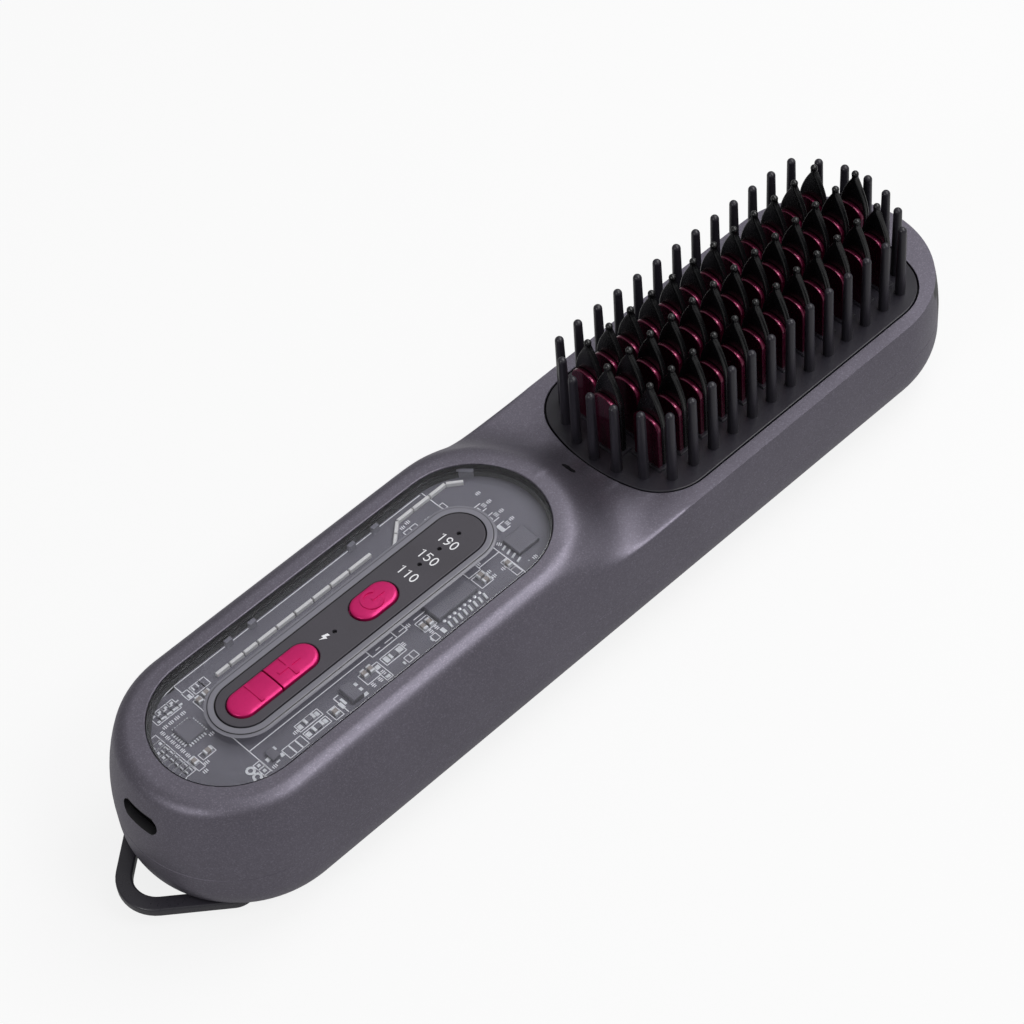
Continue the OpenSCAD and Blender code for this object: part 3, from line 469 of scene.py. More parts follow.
def upper_reach(places, angles, inset):
    """Distances to the upper skin for every place and angle, with a soft neck."""
    shape = (len(places), len(angles))
    a = np.broadcast_to(angles, shape)
    rim = ray(lambda r, z: in_upper(r, z, RIM_Z, inset), a, shape)
    deck = ray(lambda r, z: in_upper(r, z, DECK_Z, inset), a, shape)
    x = np.broadcast_to(places[:, :1], shape)
    past = np.maximum(x - WINDOW[1], 0.0)
    slope = ray(lambda r, z: z <= slope_height(np.hypot(past, r), inset), a, shape)
    reach = np.where(x <= WINDOW[1], rim, np.maximum(deck, np.minimum(rim, slope)))
    # The softening sets in between 8 and 13 degrees above the parting line, and its later
    # rounds, which work on the flanks alone, fade out between 40 and 48 degrees
    soft = np.clip(np.minimum(x - NECK[0], NECK[1] - x) / NECK_FADE, 0.0, 1.0) * 0.5
    soft *= np.clip((np.degrees(a) - 8.0) / 5.0, 0.0, 1.0)
    soft[:, -1] = 0.0
    flank = soft * np.clip((48.0 - np.degrees(a)) / 8.0, 0.0, 1.0)
    gap, pair = np.sin(np.diff(angles)), np.sin(angles[2:] - angles[:-2])
    for k in range(ROUNDS):
        along = (np.roll(reach, 1, 0) + np.roll(reach, -1, 0)) / 2
        across = along.copy()
        if k < ROUNDS_ACROSS:
            # Where the chord between the neighbours crosses the ray
            across[:, 1:-1] = pair / (gap[1:] / reach[:, :-2] + gap[:-1] / reach[:, 2:])
        share = soft if k < ROUNDS_ACROSS else flank
        reach = reach + share * ((along + across) / 2 - reach)
    return reach


def skin(name, places, outer, inner=None):
    """Closed shell from its outer and inner skins, each given as distances and angles."""
    points, faces, m = [], [], len(places)
    for reach, angles in (outer, inner) if inner else (outer,):
        first, n = len(points), len(angles)
        for (x, nx, ny), line in zip(places, reach):
            points += [(x + nx * d * math.cos(a), ny * d * math.cos(a), PART_Z + d * math.sin(a))
                       for d, a in zip(line, angles)]
        for i in range(m):
            a, b = first + i * n, first + (i + 1) % m * n
            rows = [(a + k, b + k, b + k + 1, a + k + 1) for k in range(n - 1)]
            faces += [row[::-1] for row in rows] if first else rows
    n = len(outer[1])
    if inner:
        step = len(inner[1])
        for i in range(m):
            j = (i + 1) % m
            faces.append((i * n, j * n, m * n + j * step, m * n + i * step))
    else:
        faces.append(tuple(i * n for i in range(m)))
    return tidy(loose(name, points, faces), 0.01)


def plate_loop(inset, z, n=10):
    """Outline of the comb plate, set in by inset."""
    w = PLATE_W / 2
    end_r = (w ** 2 + PLATE_BULGE ** 2) / (2 * PLATE_BULGE)
    c, yc = PLATE_L / 2 - end_r, w - PLATE_CORNER
    dx = math.sqrt((end_r - PLATE_CORNER) ** 2 - yc ** 2)
    a = math.degrees(math.atan2(yc, dx))
    right = (arc(c + dx, yc, PLATE_CORNER - inset, 90, a, n)
             + arc(c, 0, end_r - inset, a, -a, 2 * n)[1:]
             + arc(c + dx, -yc, PLATE_CORNER - inset, -a, -90, n)[1:])
    return [(PLATE_X + x, y, z) for x, y in right + [(-x, -y) for x, y in right]]


def loop_line(inset, n=14):
    """Outline of the hanging loop, set in by inset."""
    (cx, cy), bend = LOOP_CORNER, LOOP_BEND
    corner, tip = LOOP_CORNER_R - inset, LOOP_TIP_R - inset
    return (arc(cx, cy, corner, 0, bend, n) + arc(LOOP_TIP, 0, tip, bend, 360 - bend, n)
            + arc(cx, -cy, corner, 360 - bend, 360, n))


# ---------------------------------------------------------------- materials

FINISHES = {}


def surface(name, build):
    """A material filled in by build(tree, shader, place), which may return another shader."""
    if name in FINISHES:
        return FINISHES[name]
    material = bpy.data.materials.new(name)
    material.use_nodes = True
    tree = material.node_tree
    tree.nodes.clear()
    shader = add(tree, "ShaderNodeBsdfPrincipled")
    out = add(tree, "ShaderNodeOutputMaterial")
    place = add(tree, "ShaderNodeTexCoord").outputs["Object"]
    shown = build(tree, shader, place) or shader.outputs["BSDF"]
    tree.links.new(shown, out.inputs["Surface"])
    FINISHES[name] = material
    return material


def blend(tree, factor, a, b):
    """Mix of two colours, each a socket or linear values."""
    mix = add(tree, "ShaderNodeMix", data_type="RGBA")
    for socket, value in ((mix.inputs[0], factor), (mix.inputs[6], a), (mix.inputs[7], b)):
        if isinstance(value, bpy.types.NodeSocket):
            tree.links.new(value, socket)
        else:
            socket.default_value = value if isinstance(value, float) else (*value[:3], 1.0)
    return mix.outputs[2]


def spread(tree, value, low, high, start=0.0, end=1.0):
    """Maps a value onto a range."""
    return add(tree, "ShaderNodeMapRange", {"Value": value, "From Min": start, "From Max": end,
                                            "To Min": low, "To Max": high}).outputs["Result"]


def scaled(rgb, factor):
    """A colour made lighter or darker."""
    return tuple(min(1.0, c * factor) for c in rgb)


def set_sockets(shader, sockets):
    """Sets constant inputs of a shader, whose names have underscores for spaces here."""
    for key, value in sockets.items():
        shader.inputs[key.replace("_", " ")].default_value = value


def moulded(rgb, rough, grain=0.25, relief=0.012, shade=0.12, cloud=9.0, **sockets):
    """Moulded plastic: the grain of a spark-eroded mould, and a slow change of shade across
    the piece. Such a grain is about 0.08 mm, and is drawn coarser so that it shows."""
    def build(tree, shader, place):
        fine = add(tree, "ShaderNodeTexNoise", {"Vector": place, "Scale": 1 / (grain * MM),
                                                "Detail": 3.0}).outputs["Fac"]
        slow = add(tree, "ShaderNodeTexNoise", {"Vector": place, "Scale": 1 / (cloud * MM),
                                                "Detail": 2.0}).outputs["Fac"]
        both = add(tree, "ShaderNodeMath", {0: fine, 1: slow}, operation="MULTIPLY").outputs[0]
        tree.links.new(blend(tree, spread(tree, both, 0.0, 1.0, 0.1, 0.45),
                             scaled(rgb, 1 - shade), scaled(rgb, 1 + shade)),
                       shader.inputs["Base Color"])
        tree.links.new(spread(tree, both, rough - 0.05, rough + 0.07, 0.1, 0.45),
                       shader.inputs["Roughness"])
        bump = add(tree, "ShaderNodeBump", {"Height": fine, "Distance": relief * MM,
                                            "Strength": 0.6})
        tree.links.new(bump.outputs["Normal"], shader.inputs["Normal"])
        set_sockets(shader, sockets)
    return build


def flake_paint(rgb):
    """Metallic paint: mica flakes of about 0.1 mm, drawn 0.2 mm wide so that they just show,
    in a satin clear coat. It gives a fine grain over a warm dark grey."""
    def build(tree, shader, place):
        cells = add(tree, "ShaderNodeTexVoronoi", {"Vector": place, "Scale": 1 / (0.2 * MM)})
        value = add(tree, "ShaderNodeSeparateColor", {"Color": cells.outputs["Color"]})
        slow = add(tree, "ShaderNodeTexNoise", {"Vector": place, "Scale": 1 / (14 * MM),
                                                "Detail": 2.0}).outputs["Fac"]
        flake = add(tree, "ShaderNodeMath", {0: value.outputs["Red"], 1: 5.0},
                    operation="POWER").outputs[0]
        ground = blend(tree, spread(tree, slow, 0.0, 1.0, 0.3, 0.7), scaled(rgb, 0.95),
                       scaled(rgb, 1.06))
        grainy = blend(tree, spread(tree, value.outputs["Green"], 0.0, 0.5), ground,
                       scaled(rgb, 0.78))
        tree.links.new(blend(tree, spread(tree, flake, 0.0, 0.55), grainy,
                             scaled(rgb, 1.7)), shader.inputs["Base Color"])
        tree.links.new(spread(tree, value.outputs["Blue"], 0.42, 0.52),
                       shader.inputs["Roughness"])
        tilt = add(tree, "ShaderNodeBump", {"Height": value.outputs["Red"],
                                            "Distance": 0.006 * MM, "Strength": 0.5})
        tree.links.new(tilt.outputs["Normal"], shader.inputs["Normal"])
        shader.inputs["Metallic"].default_value = 0.88
    return build


def metal(rgb, rough, line=(1.0, 1.0, 1.0), grain=0.2, relief=0.006, **sockets):
    """Bare, plated or anodised metal, drawn or rolled along the axis with the smallest factor
    of line. The fine lines are drawn about five times as coarse as they are, so that they
    show."""
    def build(tree, shader, place):
        stretched = add(tree, "ShaderNodeMapping", {"Vector": place, "Scale": line})
        fine = add(tree, "ShaderNodeTexNoise", {"Vector": stretched.outputs[0],
                                                "Scale": 1 / (grain * MM), "Detail": 2.0})
        tree.links.new(blend(tree, fine.outputs["Fac"], scaled(rgb, 0.82), scaled(rgb, 1.12)),
                       shader.inputs["Base Color"])
        tree.links.new(spread(tree, fine.outputs["Fac"], rough - 0.06, rough + 0.08, 0.3, 0.7),
                       shader.inputs["Roughness"])
        bump = add(tree, "ShaderNodeBump", {"Height": fine.outputs["Fac"],
                                            "Distance": relief * MM, "Strength": 0.4})
        tree.links.new(bump.outputs["Normal"], shader.inputs["Normal"])
        shader.inputs["Metallic"].default_value = 1.0
        set_sockets(shader, sockets)
    return build


def clear(rgb, rough, through=1.0):
    """Polished polycarbonate: a glossy skin over a clear body with faint moulding waves.
    Light passes it unbent on its way to what lies below, as through any thin pane."""
    def build(tree, shader, place):
        wave = add(tree, "ShaderNodeTexNoise", {"Vector": place, "Scale": 1 / (5 * MM),
                                                "Detail": 1.0}).outputs["Fac"]
        tree.links.new(spread(tree, wave, rough, rough + 0.03, 0.35, 0.65),
                       shader.inputs["Roughness"])
        tree.links.new(blend(tree, wave, scaled(rgb, 0.97), rgb), shader.inputs["Base Color"])
        bump = add(tree, "ShaderNodeBump", {"Height": wave, "Distance": 0.01 * MM,
                                            "Strength": 0.3})
        for socket in ("Normal", "Coat Normal"):
            tree.links.new(bump.outputs["Normal"], shader.inputs[socket])
        set_sockets(shader, {"Transmission_Weight": through, "IOR": 1.2, "Coat_Weight": 0.35,
                             "Coat_Roughness": 0.04})
        path = add(tree, "ShaderNodeLightPath").outputs
        dim = add(tree, "ShaderNodeMath", {0: path["Is Shadow Ray"],
                                           1: path["Is Diffuse Ray"]}, operation="MAXIMUM")
        pane = add(tree, "ShaderNodeBsdfTransparent", {"Color": opaque("#F6F6F7")})
        return add(tree, "ShaderNodeMixShader", {0: dim.outputs[0],
                                                 1: shader.outputs["BSDF"],
                                                 2: pane.outputs[0]}).outputs[0]
    return build


def palette():
    """Every finish of the comb, by the name of its slot."""
    grey = linear("#B9BBBD")
    return {
        # Metallic paint over moulded ABS: warm dark grey with a fine glitter and a satin sheen
        "housing_paint": ("flake_paint_on_abs", flake_paint(tint("paint"))),
        "base_plastic": ("flake_paint_on_abs", flake_paint(tint("paint"))),
        # Polished polycarbonate: clear, with sharp highlights and a slightly wavy skin
        "clear_cover": ("polished_polycarbonate", clear(linear("#F4F5F8"), 0.02)),
        # The same where it is moulded thick: greyer, and so milky that it hides what is below
        "clear_wall": ("thick_polycarbonate", clear(linear("#85848D"), 0.16, 0.2)),
        # Nearly black moulded ABS: bare plastic, and also painted shade laid in gaps and recesses
        # so that they read dark
        "bare_abs": ("bare_abs", moulded(linear("#161519"), 0.5)),
        # Black ABS without gloss: painted shade on the ion outlet, deep in its slot, so that it
        # reads as a hole
        "outlet_painted_shade": ("soot_filled_abs", moulded(linear("#08080A"), 0.8,
                                                    Specular_IOR_Level=0.1)),
        # ABS from a spark-eroded mould: dark grey and matte, with a grain that just shows
        "strip_plastic": ("eroded_abs", moulded(tint("strip"), 0.55, 0.3, 0.02)),
        # Pearl lacquer sprayed on ABS: crimson in the shade, with a soft pink highlight
        "button_plastic": ("pearl_lacquer", moulded(
            tint("button"), 0.34, 0.4, 0.006, 0.06, Metallic=0.4, Specular_IOR_Level=1.0,
            Specular_Tint=opaque("#FFB3FF"))),
        # Natural moulded nylon: warm white and waxy
        "white_plastic": ("natural_nylon", moulded(linear("#DDD8CA"), 0.5)),
        # Drawn steel, darkened as painted shade since it lies deep in the port: dark enough for
        # the port to read as an opening
        "steel_painted_shade": ("blackened_steel", metal(linear("#3A393D"), 0.35, (1, 1, 0.2))),
        # Stamped steel, nickel plated: bright grey with fine drawn lines
        "stamped_steel": ("nickel_plated_steel", metal(grey, 0.28, (1, 1, 0.2))),
        # Moulded smoked polycarbonate: small glossy black dots while the lights are off
        "smoked_plastic": ("smoked_polycarbonate", moulded(linear("#0C0C0E"), 0.25, 0.4, 0.004)),
        # Cast milky resin: soft white, with blurred highlights
        "led_resin": ("milky_resin", moulded(linear("#DAD9D8"), 0.3, 0.6, 0.01, 0.04)),
        # Solder resist over glass fibre laminate: mid grey, with the weave just showing
        "circuit_board": ("solder_resist", moulded(tint("board"), 0.42, 0.7, 0.01, 0.10, 14.0)),
        # Moulded epoxy: even grey with a dull sheen
        "chip_resin": ("moulded_epoxy", moulded(linear("#5C5A63"), 0.42, 0.15, 0.004, 0.05)),
        # Fired ceramic: brownish grey and dull
        "chip_ceramic": ("fired_ceramic", moulded(linear("#8B837F"), 0.45, 0.2, 0.01)),
        # Shrink sleeve over steel cans: blue and smooth, with slow waves in its gloss
        "battery_sleeve": ("shrink_sleeve", moulded(linear("#336B97"), 0.3, 1.2, 0.01)),
        # Rolled nickel: bright, with lines along the strip
        "nickel_strip": ("rolled_nickel", metal(linear("#C9CACC"), 0.3, (0.1, 1, 1))),
        # Extruded silicone: red, soft and nearly matte
        "lead_sleeve": ("silicone_sleeve", moulded(linear("#B3362A"), 0.55, 0.5, 0.01)),
        # Moulded nylon filled with glass: charcoal, with a satin skin and soft highlights
        "comb_nylon": ("satin_nylon", moulded(tint("nylon"), 0.34, 0.3, 0.008, 0.10,
                                              Specular_IOR_Level=0.4)),
        # Milled cast aluminium: pale grey, with the lines of the cutter
        "bare_aluminium": ("milled_aluminium", metal(linear("#BFC1C4"), 0.35, (0.1, 1, 1))),
        # Extruded aluminium, anodised: deep wine red with bright edges and upright lines
        "anodised_fin": ("anodised_aluminium", metal(tint("fin"), 0.3, (1, 1, 0.15), 0.3,
                                                     Metallic=0.85, Coat_Weight=0.6)),
        # Moulded heat resistant nylon: black, glossier than the plate, with round highlights
        "cap_nylon": ("heat_nylon", moulded(tint("cap"), 0.26, 0.3, 0.006, 0.10)),
        # Fired alumina: cream and dull
        "heater_ceramic": ("fired_alumina", moulded(linear("#D9CDB8"), 0.5, 0.2, 0.01)),
        # Pressed mica: brown, with large glossy flakes
        "mica": ("pressed_mica", moulded(linear("#B9A27A"), 0.3, 2.0, 0.02, 0.2)),
        # Moulded phenolic: dark brown and dull
        "tray_plastic": ("moulded_phenolic", moulded(linear("#3D2F26"), 0.5, 0.3, 0.02)),
        # Moulded nylon: near black, with a slight gloss along the edges of the strap
        "loop_plastic": ("glossy_nylon", moulded(tint("loop"), 0.3, 0.5, 0.008, 0.10)),
        # Moulded rubber: dark and matte
        "plug_rubber": ("moulded_rubber", moulded(linear("#29282B"), 0.65, 0.3, 0.02)),
        # Screen printed ink: crisp white lines without gloss
        "print": ("white_ink", moulded(tint("print"), 0.5, 0.3, 0.004, 0.05)),
        # Reflowed solder: pale silver beads
        "solder": ("tinned_solder", moulded(linear("#D2D3D6"), 0.3, 0.5, 0.01, 0.06,
                                            Metallic=0.3)),
        # Gold plated contacts: warm yellow, with bright lines
        "gold": ("gold_contacts", metal(linear("#D9A94A"), 0.25, (0.2, 1, 1))),
    }


def coat(name):
    """The material of a finish."""
    label, build = palette()[name]
    return surface(label, build)


# ---------------------------------------------------------------- housings


class COMB_OT_upper_housing(bpy.types.Operator):
    """Adds the painted upper housing with its window pocket, comb pocket and slots"""

    bl_idname = "comb.upper_housing"
    bl_label = "Upper housing"

    def execute(self, context):
        places = stations(0.8)
        fine = np.radians(np.concatenate([[0.0, 0.4], np.linspace(1.6, 13.4, 9), EDGE_ANGLES,
                                          np.linspace(48.0, 90.0, 24)]))
        outer = upper_reach(places, fine, FIT)
        outer[:, 0] -= size("parting")
        coarse = np.radians(np.linspace(0.0, 90.0, 46))
        body = skin("upper", places, (outer, fine), (upper_reach(places, coarse, WALL), coarse))
        seats = [loft("frame", [pill(*WINDOW, r, z) for r, z in ring_rows(*FRAME_R, *FRAME_Z)],
                      True),
                 loft("ring", [plate_loop(inset, z)
                               for inset, z in ring_rows(-1.2, 2.4, RING_Z, RING_TOP)], True)]
        combine(body, seats, "UNION")
        # Edges of the window pocket and of the comb pocket, from the foot up
        round_edge = [(WINDOW_R + 0.06, 32.7), (WINDOW_R + 0.06, 34.18),
                      (WINDOW_R + 0.14, 34.36), (WINDOW_R + 0.34, 34.5), (WINDOW_R + 0.5, 34.6)]
        plate_edge = [(0.28, PLATE_BASE), (0.28, 25.75), (0.34, 25.9), (0.46, 26.0), (0.5, 28.0)]
        ion_tilt = Matrix.Translation(ION_PLACE) @ Matrix.Rotation(
            math.radians(ION_TILT), 4, "Y")
        aside = Matrix.Rotation(math.pi / 2, 4, "Z")
        ion_slot = shift(pill_solid("slot", ION_SPAN, [(ION_R, -6.0), (ION_R, 2.5)], 10),
                         ion_tilt @ aside)
        port = pill_solid("port", (-SOCKET_HALF, SOCKET_HALF),
                          [(PORT_R, -6.0), (PORT_R, 0.9), (PORT_R + 0.2, 2.9)], 14)
        shift(port, Matrix.Translation((SOCKET_X + 0.4, 0, SOCKET_Z))
              @ Matrix.Rotation(math.pi, 4, "Z") @ aside @ Matrix.Rotation(math.pi / 2, 4, "X"))
        combine(body, [
            pill_solid("pocket", WINDOW, round_edge),
            pill_solid("ledge", WINDOW, [(WINDOW_R - 0.6, 29.0), (WINDOW_R - 0.6, 33.0)]),
            loft("comb", [plate_loop(-a, z) for a, z in plate_edge]),
            loft("opening", [plate_loop(1.4, 21.0), plate_loop(1.4, 24.5)]),
            ion_slot, port])
        finish(tidy(body), "upper_housing_skin", "housing",
               coat("housing_paint"), ["upper_housing"], 34)

        def unpainted_shaded_walls(x, y, z):
            """Walls of the pockets, the port and the outlet, which the paint doesn't reach: nearly
            black ABS is laid there as painted shade, so that these recesses read dark.
            """
            window = off_line(x, y, WINDOW) < WINDOW_R + 0.1 and z < 34.1
            comb = (abs(x - PLATE_X) < PLATE_L / 2 + 0.8 and abs(y) < PLATE_W / 2 + 0.5
                    and z < 25.7)
            mouth = (x < -104 and off_line(y, z - SOCKET_Z, (-SOCKET_HALF, SOCKET_HALF))
                     < PORT_R + 0.13)
            a, b, _ = ion_tilt.inverted() @ Vector((x, y, z))
            return window or comb or mouth or off_line(b, a, ION_SPAN) < ION_R + 0.02

        # Painted shade: the walls of the pockets, the port and the outlet take nearly black ABS
        second(body, coat("bare_abs"), unpainted_shaded_walls)
        return {"FINISHED"}


class COMB_OT_lower_housing(bpy.types.Operator):
    """Adds the lower housing with the recess of the hanging loop and the screw wells"""

    bl_idname = "comb.lower_housing"
    bl_label = "Lower housing"

    def execute(self, context):
        places = stations(6.0)
        angles = np.radians(np.concatenate([[0.0, -0.4], np.linspace(-1.6, -90.0, 58)]))
        shape = (len(places), len(angles))
        wide = np.broadcast_to(angles, shape)
        outer = ray(lambda r, z: in_lower(r, z, FIT), wide, shape)
        outer[:, 0] -= size("parting")
        inner = ray(lambda r, z: in_lower(r, z, WALL), wide, shape)
        body = skin("lower", places, (outer, angles), (inner, angles))
        solid = skin("solid", places, (outer, angles))

        def recess(inset, z0, z1):
            """The loop's outline as it lies out, and folded over the hinge."""
            line = loop_line(inset)
            folded = [(2 * HINGE_X - x, y) for x, y in line][::-1]
            return [loft("fold", [[(x, y, z) for x, y in way] for z in (z0, z1)])
                    for way in (line, folded)]

        def at_screws(name, rows):
            """One round solid at every screw."""
            return [turned(name, rows, 32, (x, s * y)) for x, y in SCREWS for s in (-1, 1)]

        filler, *more = recess(-1.8, -1.0, 8.1)
        more.append(box_solid("bar", (HINGE_X - 3.7, -18.9, -1), (HINGE_X + 3.7, 18.9, 8.9)))
        combine(filler, more + at_screws("boss", [(BOSS_R, -1.0), (BOSS_R, 15.9)]), "UNION")
        combine(filler, [solid], "INTERSECT")
        combine(body, [filler], "UNION")
        cuts = recess(-0.4, -2.0, RECESS_Z)
        cuts.append(box_solid("mouth", (HINGE_X - BARREL_ROOM, -17.5, -2),
                              (HINGE_X + BARREL_ROOM, 17.5, HINGE_Z)))
        cuts.append(shift(turned("barrel", [(BARREL_ROOM, -17.5), (BARREL_ROOM, 17.5)], 32),
                          HINGE_TURN))
        cuts += at_screws("well", [(WELL_R + 0.4, -1.0), (WELL_R + 0.4, 0.0), (WELL_R, 0.35),
                                   (WELL_R, SEAT_Z)])
        combine(body, cuts)
        finish(tidy(body), "lower_housing_skin", "housing",
               coat("base_plastic"), ["lower_housing"], 34)
        return {"FINISHED"}


# ---------------------------------------------------------------- window, strip and buttons


class COMB_OT_window(bpy.types.Operator):
    """Adds the clear cover with the raised wall around the control strip"""

    bl_idname = "comb.window"
    bl_label = "Window cover"

    def execute(self, context):
        low, high = COVER_Z
        # Up the outer wall, over the rim, up and over the collar, and down around the strip
        rows = [(WINDOW, WINDOW_R - 0.1, low), (WINDOW, WINDOW_R, low + 0.1),
                (WINDOW, WINDOW_R, high - 0.2), (WINDOW, WINDOW_R - 0.06, high - 0.06),
                (WINDOW, WINDOW_R - 0.2, high), (WINDOW, WINDOW_R - 0.4, high),
                (STRIP, COLLAR_R + 0.9, high), (STRIP, COLLAR_R + 0.7, high),
                (STRIP, COLLAR_R + 0.3, high + 0.06), (STRIP, COLLAR_R + 0.08, high + 0.2),
                (STRIP, COLLAR_R - 0.1, high + 0.34), (STRIP, COLLAR_R - 0.35, high + 0.4),
                (STRIP, STRIP_R + 0.3, high + 0.4), (STRIP, STRIP_R + 0.18, high + 0.3),
                (STRIP, STRIP_R + 0.15, STRIP_Z[0] - 0.05),
                (STRIP, STRIP_R - 1.0, STRIP_Z[0] - 0.05), (STRIP, STRIP_R - 1.0, low)]
        cover = loft("cover", [pill(*span, r, z, 40) for span, r, z in rows], True)
        finish(cover, "window_cover_skin", "housing", coat("clear_cover"),
               ["window_cover"], 40)
        second(cover, coat("clear_wall"), lambda x, y, z: z > high + 0.02)

        def dark(x, y, z):
            """The edges that lie in shadow: beside the strip, around the collar, at the rim."""
            inner = off_line(x, y, STRIP)
            flank = COLLAR_R - 0.1 < inner < COLLAR_R + 0.08 and z > high + 0.2
            wall = off_line(x, y, WINDOW) > WINDOW_R - 0.06 and z < high - 0.1
            return inner < STRIP_R + 0.28 or flank or wall

        # Painted shade: the edges of the cover that lie in shadow take nearly black ABS
        second(cover, coat("bare_abs"), dark)
        return {"FINISHED"}


class COMB_OT_strip(bpy.types.Operator):
    """Adds the control strip with its printed figures, light pipes and lightning mark"""

    bl_idname = "comb.strip"
    bl_label = "Control strip"

    def execute(self, context):
        low, high = STRIP_Z
        strip = pill_solid("strip", STRIP, [(STRIP_R, low), (STRIP_R, high - 0.22),
                                            (STRIP_R - 0.07, high - 0.07),
                                            (STRIP_R - 0.22, high)], 40)
        hole = BUTTON_R + BUTTON_GAP
        rows = [(hole, low - 1), (hole, high - 0.15), (hole + 0.15, high + 0.01),
                (hole + 0.2, high + 1)]
        cuts = [pill_solid("hole", (x - reach, x + reach), rows, 30)
                for x, reach in ((PAIR_X, PAIR_REACH), (POWER_X, POWER_REACH))]
        cuts += [turned("light", [(0.5, low - 1), (0.5, high + 1)], 20, (x, 0.0))
                 for x in LIGHTS]
        combine(strip, cuts)
        finish(tidy(strip), "control_strip_skin", "housing",
               coat("strip_plastic"), ["control_strip"])
        pipes = [turned("pipe", [(0.48, BOARD_Z + 0.7), (0.48, high - 0.5),
                                 (0.24, high - 0.42)], 20, (x, 0.0)) for x in LIGHTS]
        finish(merged("pipes", pipes), "light_pipes_domed", "housing",
               coat("smoked_plastic"), ["light_pipes"])
        marks = [line for text, x in FIGURES for line in figure(text, x, 0.05)]
        marks.append(loft("bolt", [[(BOLT_X + y, BOLT_Y - x, z) for x, y in BOLT]
                                   for z in (high - 0.05, high + 0.03)]))
        finish(merged("marks", marks), "printed_marks", "housing",
               coat("print"))
        return {"FINISHED"}


# Strokes of the printed digits, in millimetres to the right of and above their middle. The
# upper ring of the nine stands apart, because it closes.
NINE = [(0.52 * math.cos(a), 0.46 + 0.56 * math.sin(a)) for a in np.linspace(0.0, 6.283, 17)]
DIGITS = {
    "0": [[(0.54 * math.cos(a), 1.02 * math.sin(a)) for a in np.linspace(0.0, 6.283, 25)]],
    "1": [[(-0.42, 0.6), (0.14, 1.0), (0.14, -1.18)]],
    "5": [[(0.5, 1.02), (-0.4, 1.02), (-0.5, 0.08), (-0.2, 0.28), (0.12, 0.28), (0.42, 0.06),
           (0.54, -0.34), (0.42, -0.76), (0.1, -1.01), (-0.25, -1.0), (-0.54, -0.74)]],
    "9": [NINE, [(0.52, 0.46), (0.5, -0.1), (0.34, -0.62), (0.02, -0.95), (-0.4, -1.0)]],
}


def figure(text, x, y):
    """Printed number that reads across the strip, with its top towards the head."""
    grow = size("figures") / FIGURE_W
    top = STRIP_Z[1]
    lines = []
    for i, digit in enumerate(text):
        offset = (i - (len(text) - 1) / 2) * DIGIT_STEP
        for stroke in DIGITS[digit]:
            points = [(x + v * grow, y - (u + offset) * grow) for u, v in stroke]
            lines.append(ridge(points, STROKE_W * grow, top - 0.02, top + 0.03, 0.0))
    return lines


def button(name, x, reach, side=0):
    """Button with round ends, a lip below and a slightly domed top. A side of -1 or 1 leaves
    only that half of it."""
    rows = [(BUTTON_R + 0.6, LIP_Z), (BUTTON_R + 0.6, LIP_Z + 0.5), (BUTTON_R, LIP_Z + 0.5)]
    rows += [(BUTTON_R - 0.9 + 0.9 * math.cos(a), BUTTON_TOP - 0.7 + 0.42 * math.sin(a))
             for a in np.linspace(0, math.pi / 2, 7)]
    rows += [(BUTTON_R - 1.6, BUTTON_TOP - 0.22), (BUTTON_R - 2.5, BUTTON_TOP - 0.18)]
    obj = pill_solid(name, (x - reach, x + reach), rows, 30)
    if side:
        wall = x + side * SPLIT / 2
        far = x + side * 30
        tool = box_solid("half", (min(wall, far), -9, 30), (max(wall, far), 9, 38))
        combine(obj, [tool], "INTERSECT")
        soften = obj.modifiers.new("soften", "BEVEL")
        soften.width = 0.14 * MM
        soften.segments = 2
        soften.limit_method = "ANGLE"
        soften.angle_limit = math.radians(60)
        settled(obj)
    return tidy(obj)


def ridge(points, width, low, high, slant=0.1):
    """Raised bar along points of a flat path, with slanted sides."""
    line = [Vector(p) for p in points]
    loops = []
    for i, p in enumerate(line):
        before, after = line[max(i - 1, 0)], line[min(i + 1, len(line) - 1)]
        along = (after - before).normalized()
        across = Vector((-along.y, along.x))
        loops.append([(*(p + across * w), z) for w, z in (
            (-width / 2, low), (slant - width / 2, high), (width / 2 - slant, high),
            (width / 2, low))])
    return loft("ridge", loops)


def raised(name, outline, low, high):
    """Raised mark whose outline is given for half the width of its bars."""
    return loft(name, [[(x, y, z) for x, y in outline(half)]
                       for half, z in ((MARK_FOOT, low), (MARK_HEAD, high))])


class COMB_OT_buttons(bpy.types.Operator):
    """Adds the minus, plus and power buttons with their raised marks"""

    bl_idname = "comb.buttons"
    bl_label = "Buttons"

    def execute(self, context):
        low, high, arm = BUTTON_TOP - 0.35, BUTTON_TOP, MARK_ARM
        for name, side in (("minus_button", -1), ("plus_button", 1)):
            piece = button(name, PAIR_X, PAIR_REACH, side)
            if side < 0:
                mark = raised("minus", lambda a: [(MINUS_X + u, v) for u, v in (
                    (-a, -arm), (a, -arm), (a, arm), (-a, arm))], low, high)
            else:
                mark = raised("plus", lambda a: [(PLUS_X + u, v) for u, v in (
                    (-arm, -a), (-a, -a), (-a, -arm), (a, -arm), (a, -a), (arm, -a), (arm, a),
                    (a, a), (a, arm), (-a, arm), (-a, a), (-arm, a))], low, high)
            finish(merged(name, [piece, mark]), name + "_domed", name,
                   coat("button_plastic"), [name])
        piece = button("power", POWER_X, POWER_REACH)
        circle = arc(POWER_X - 0.3, 0.0, 2.1, 40, 320, 30)
        bar = [(POWER_X - 0.3, 0.0), (POWER_X + 2.7, 0.0)]
        marks = [ridge(circle, 0.8, low, high), ridge(bar, 0.8, low, high)]
        finish(merged("power", [piece, *marks]), "power_button_domed", "power_button",
               coat("button_plastic"), ["power_button"])
        return {"FINISHED"}


# ---------------------------------------------------------------- comb


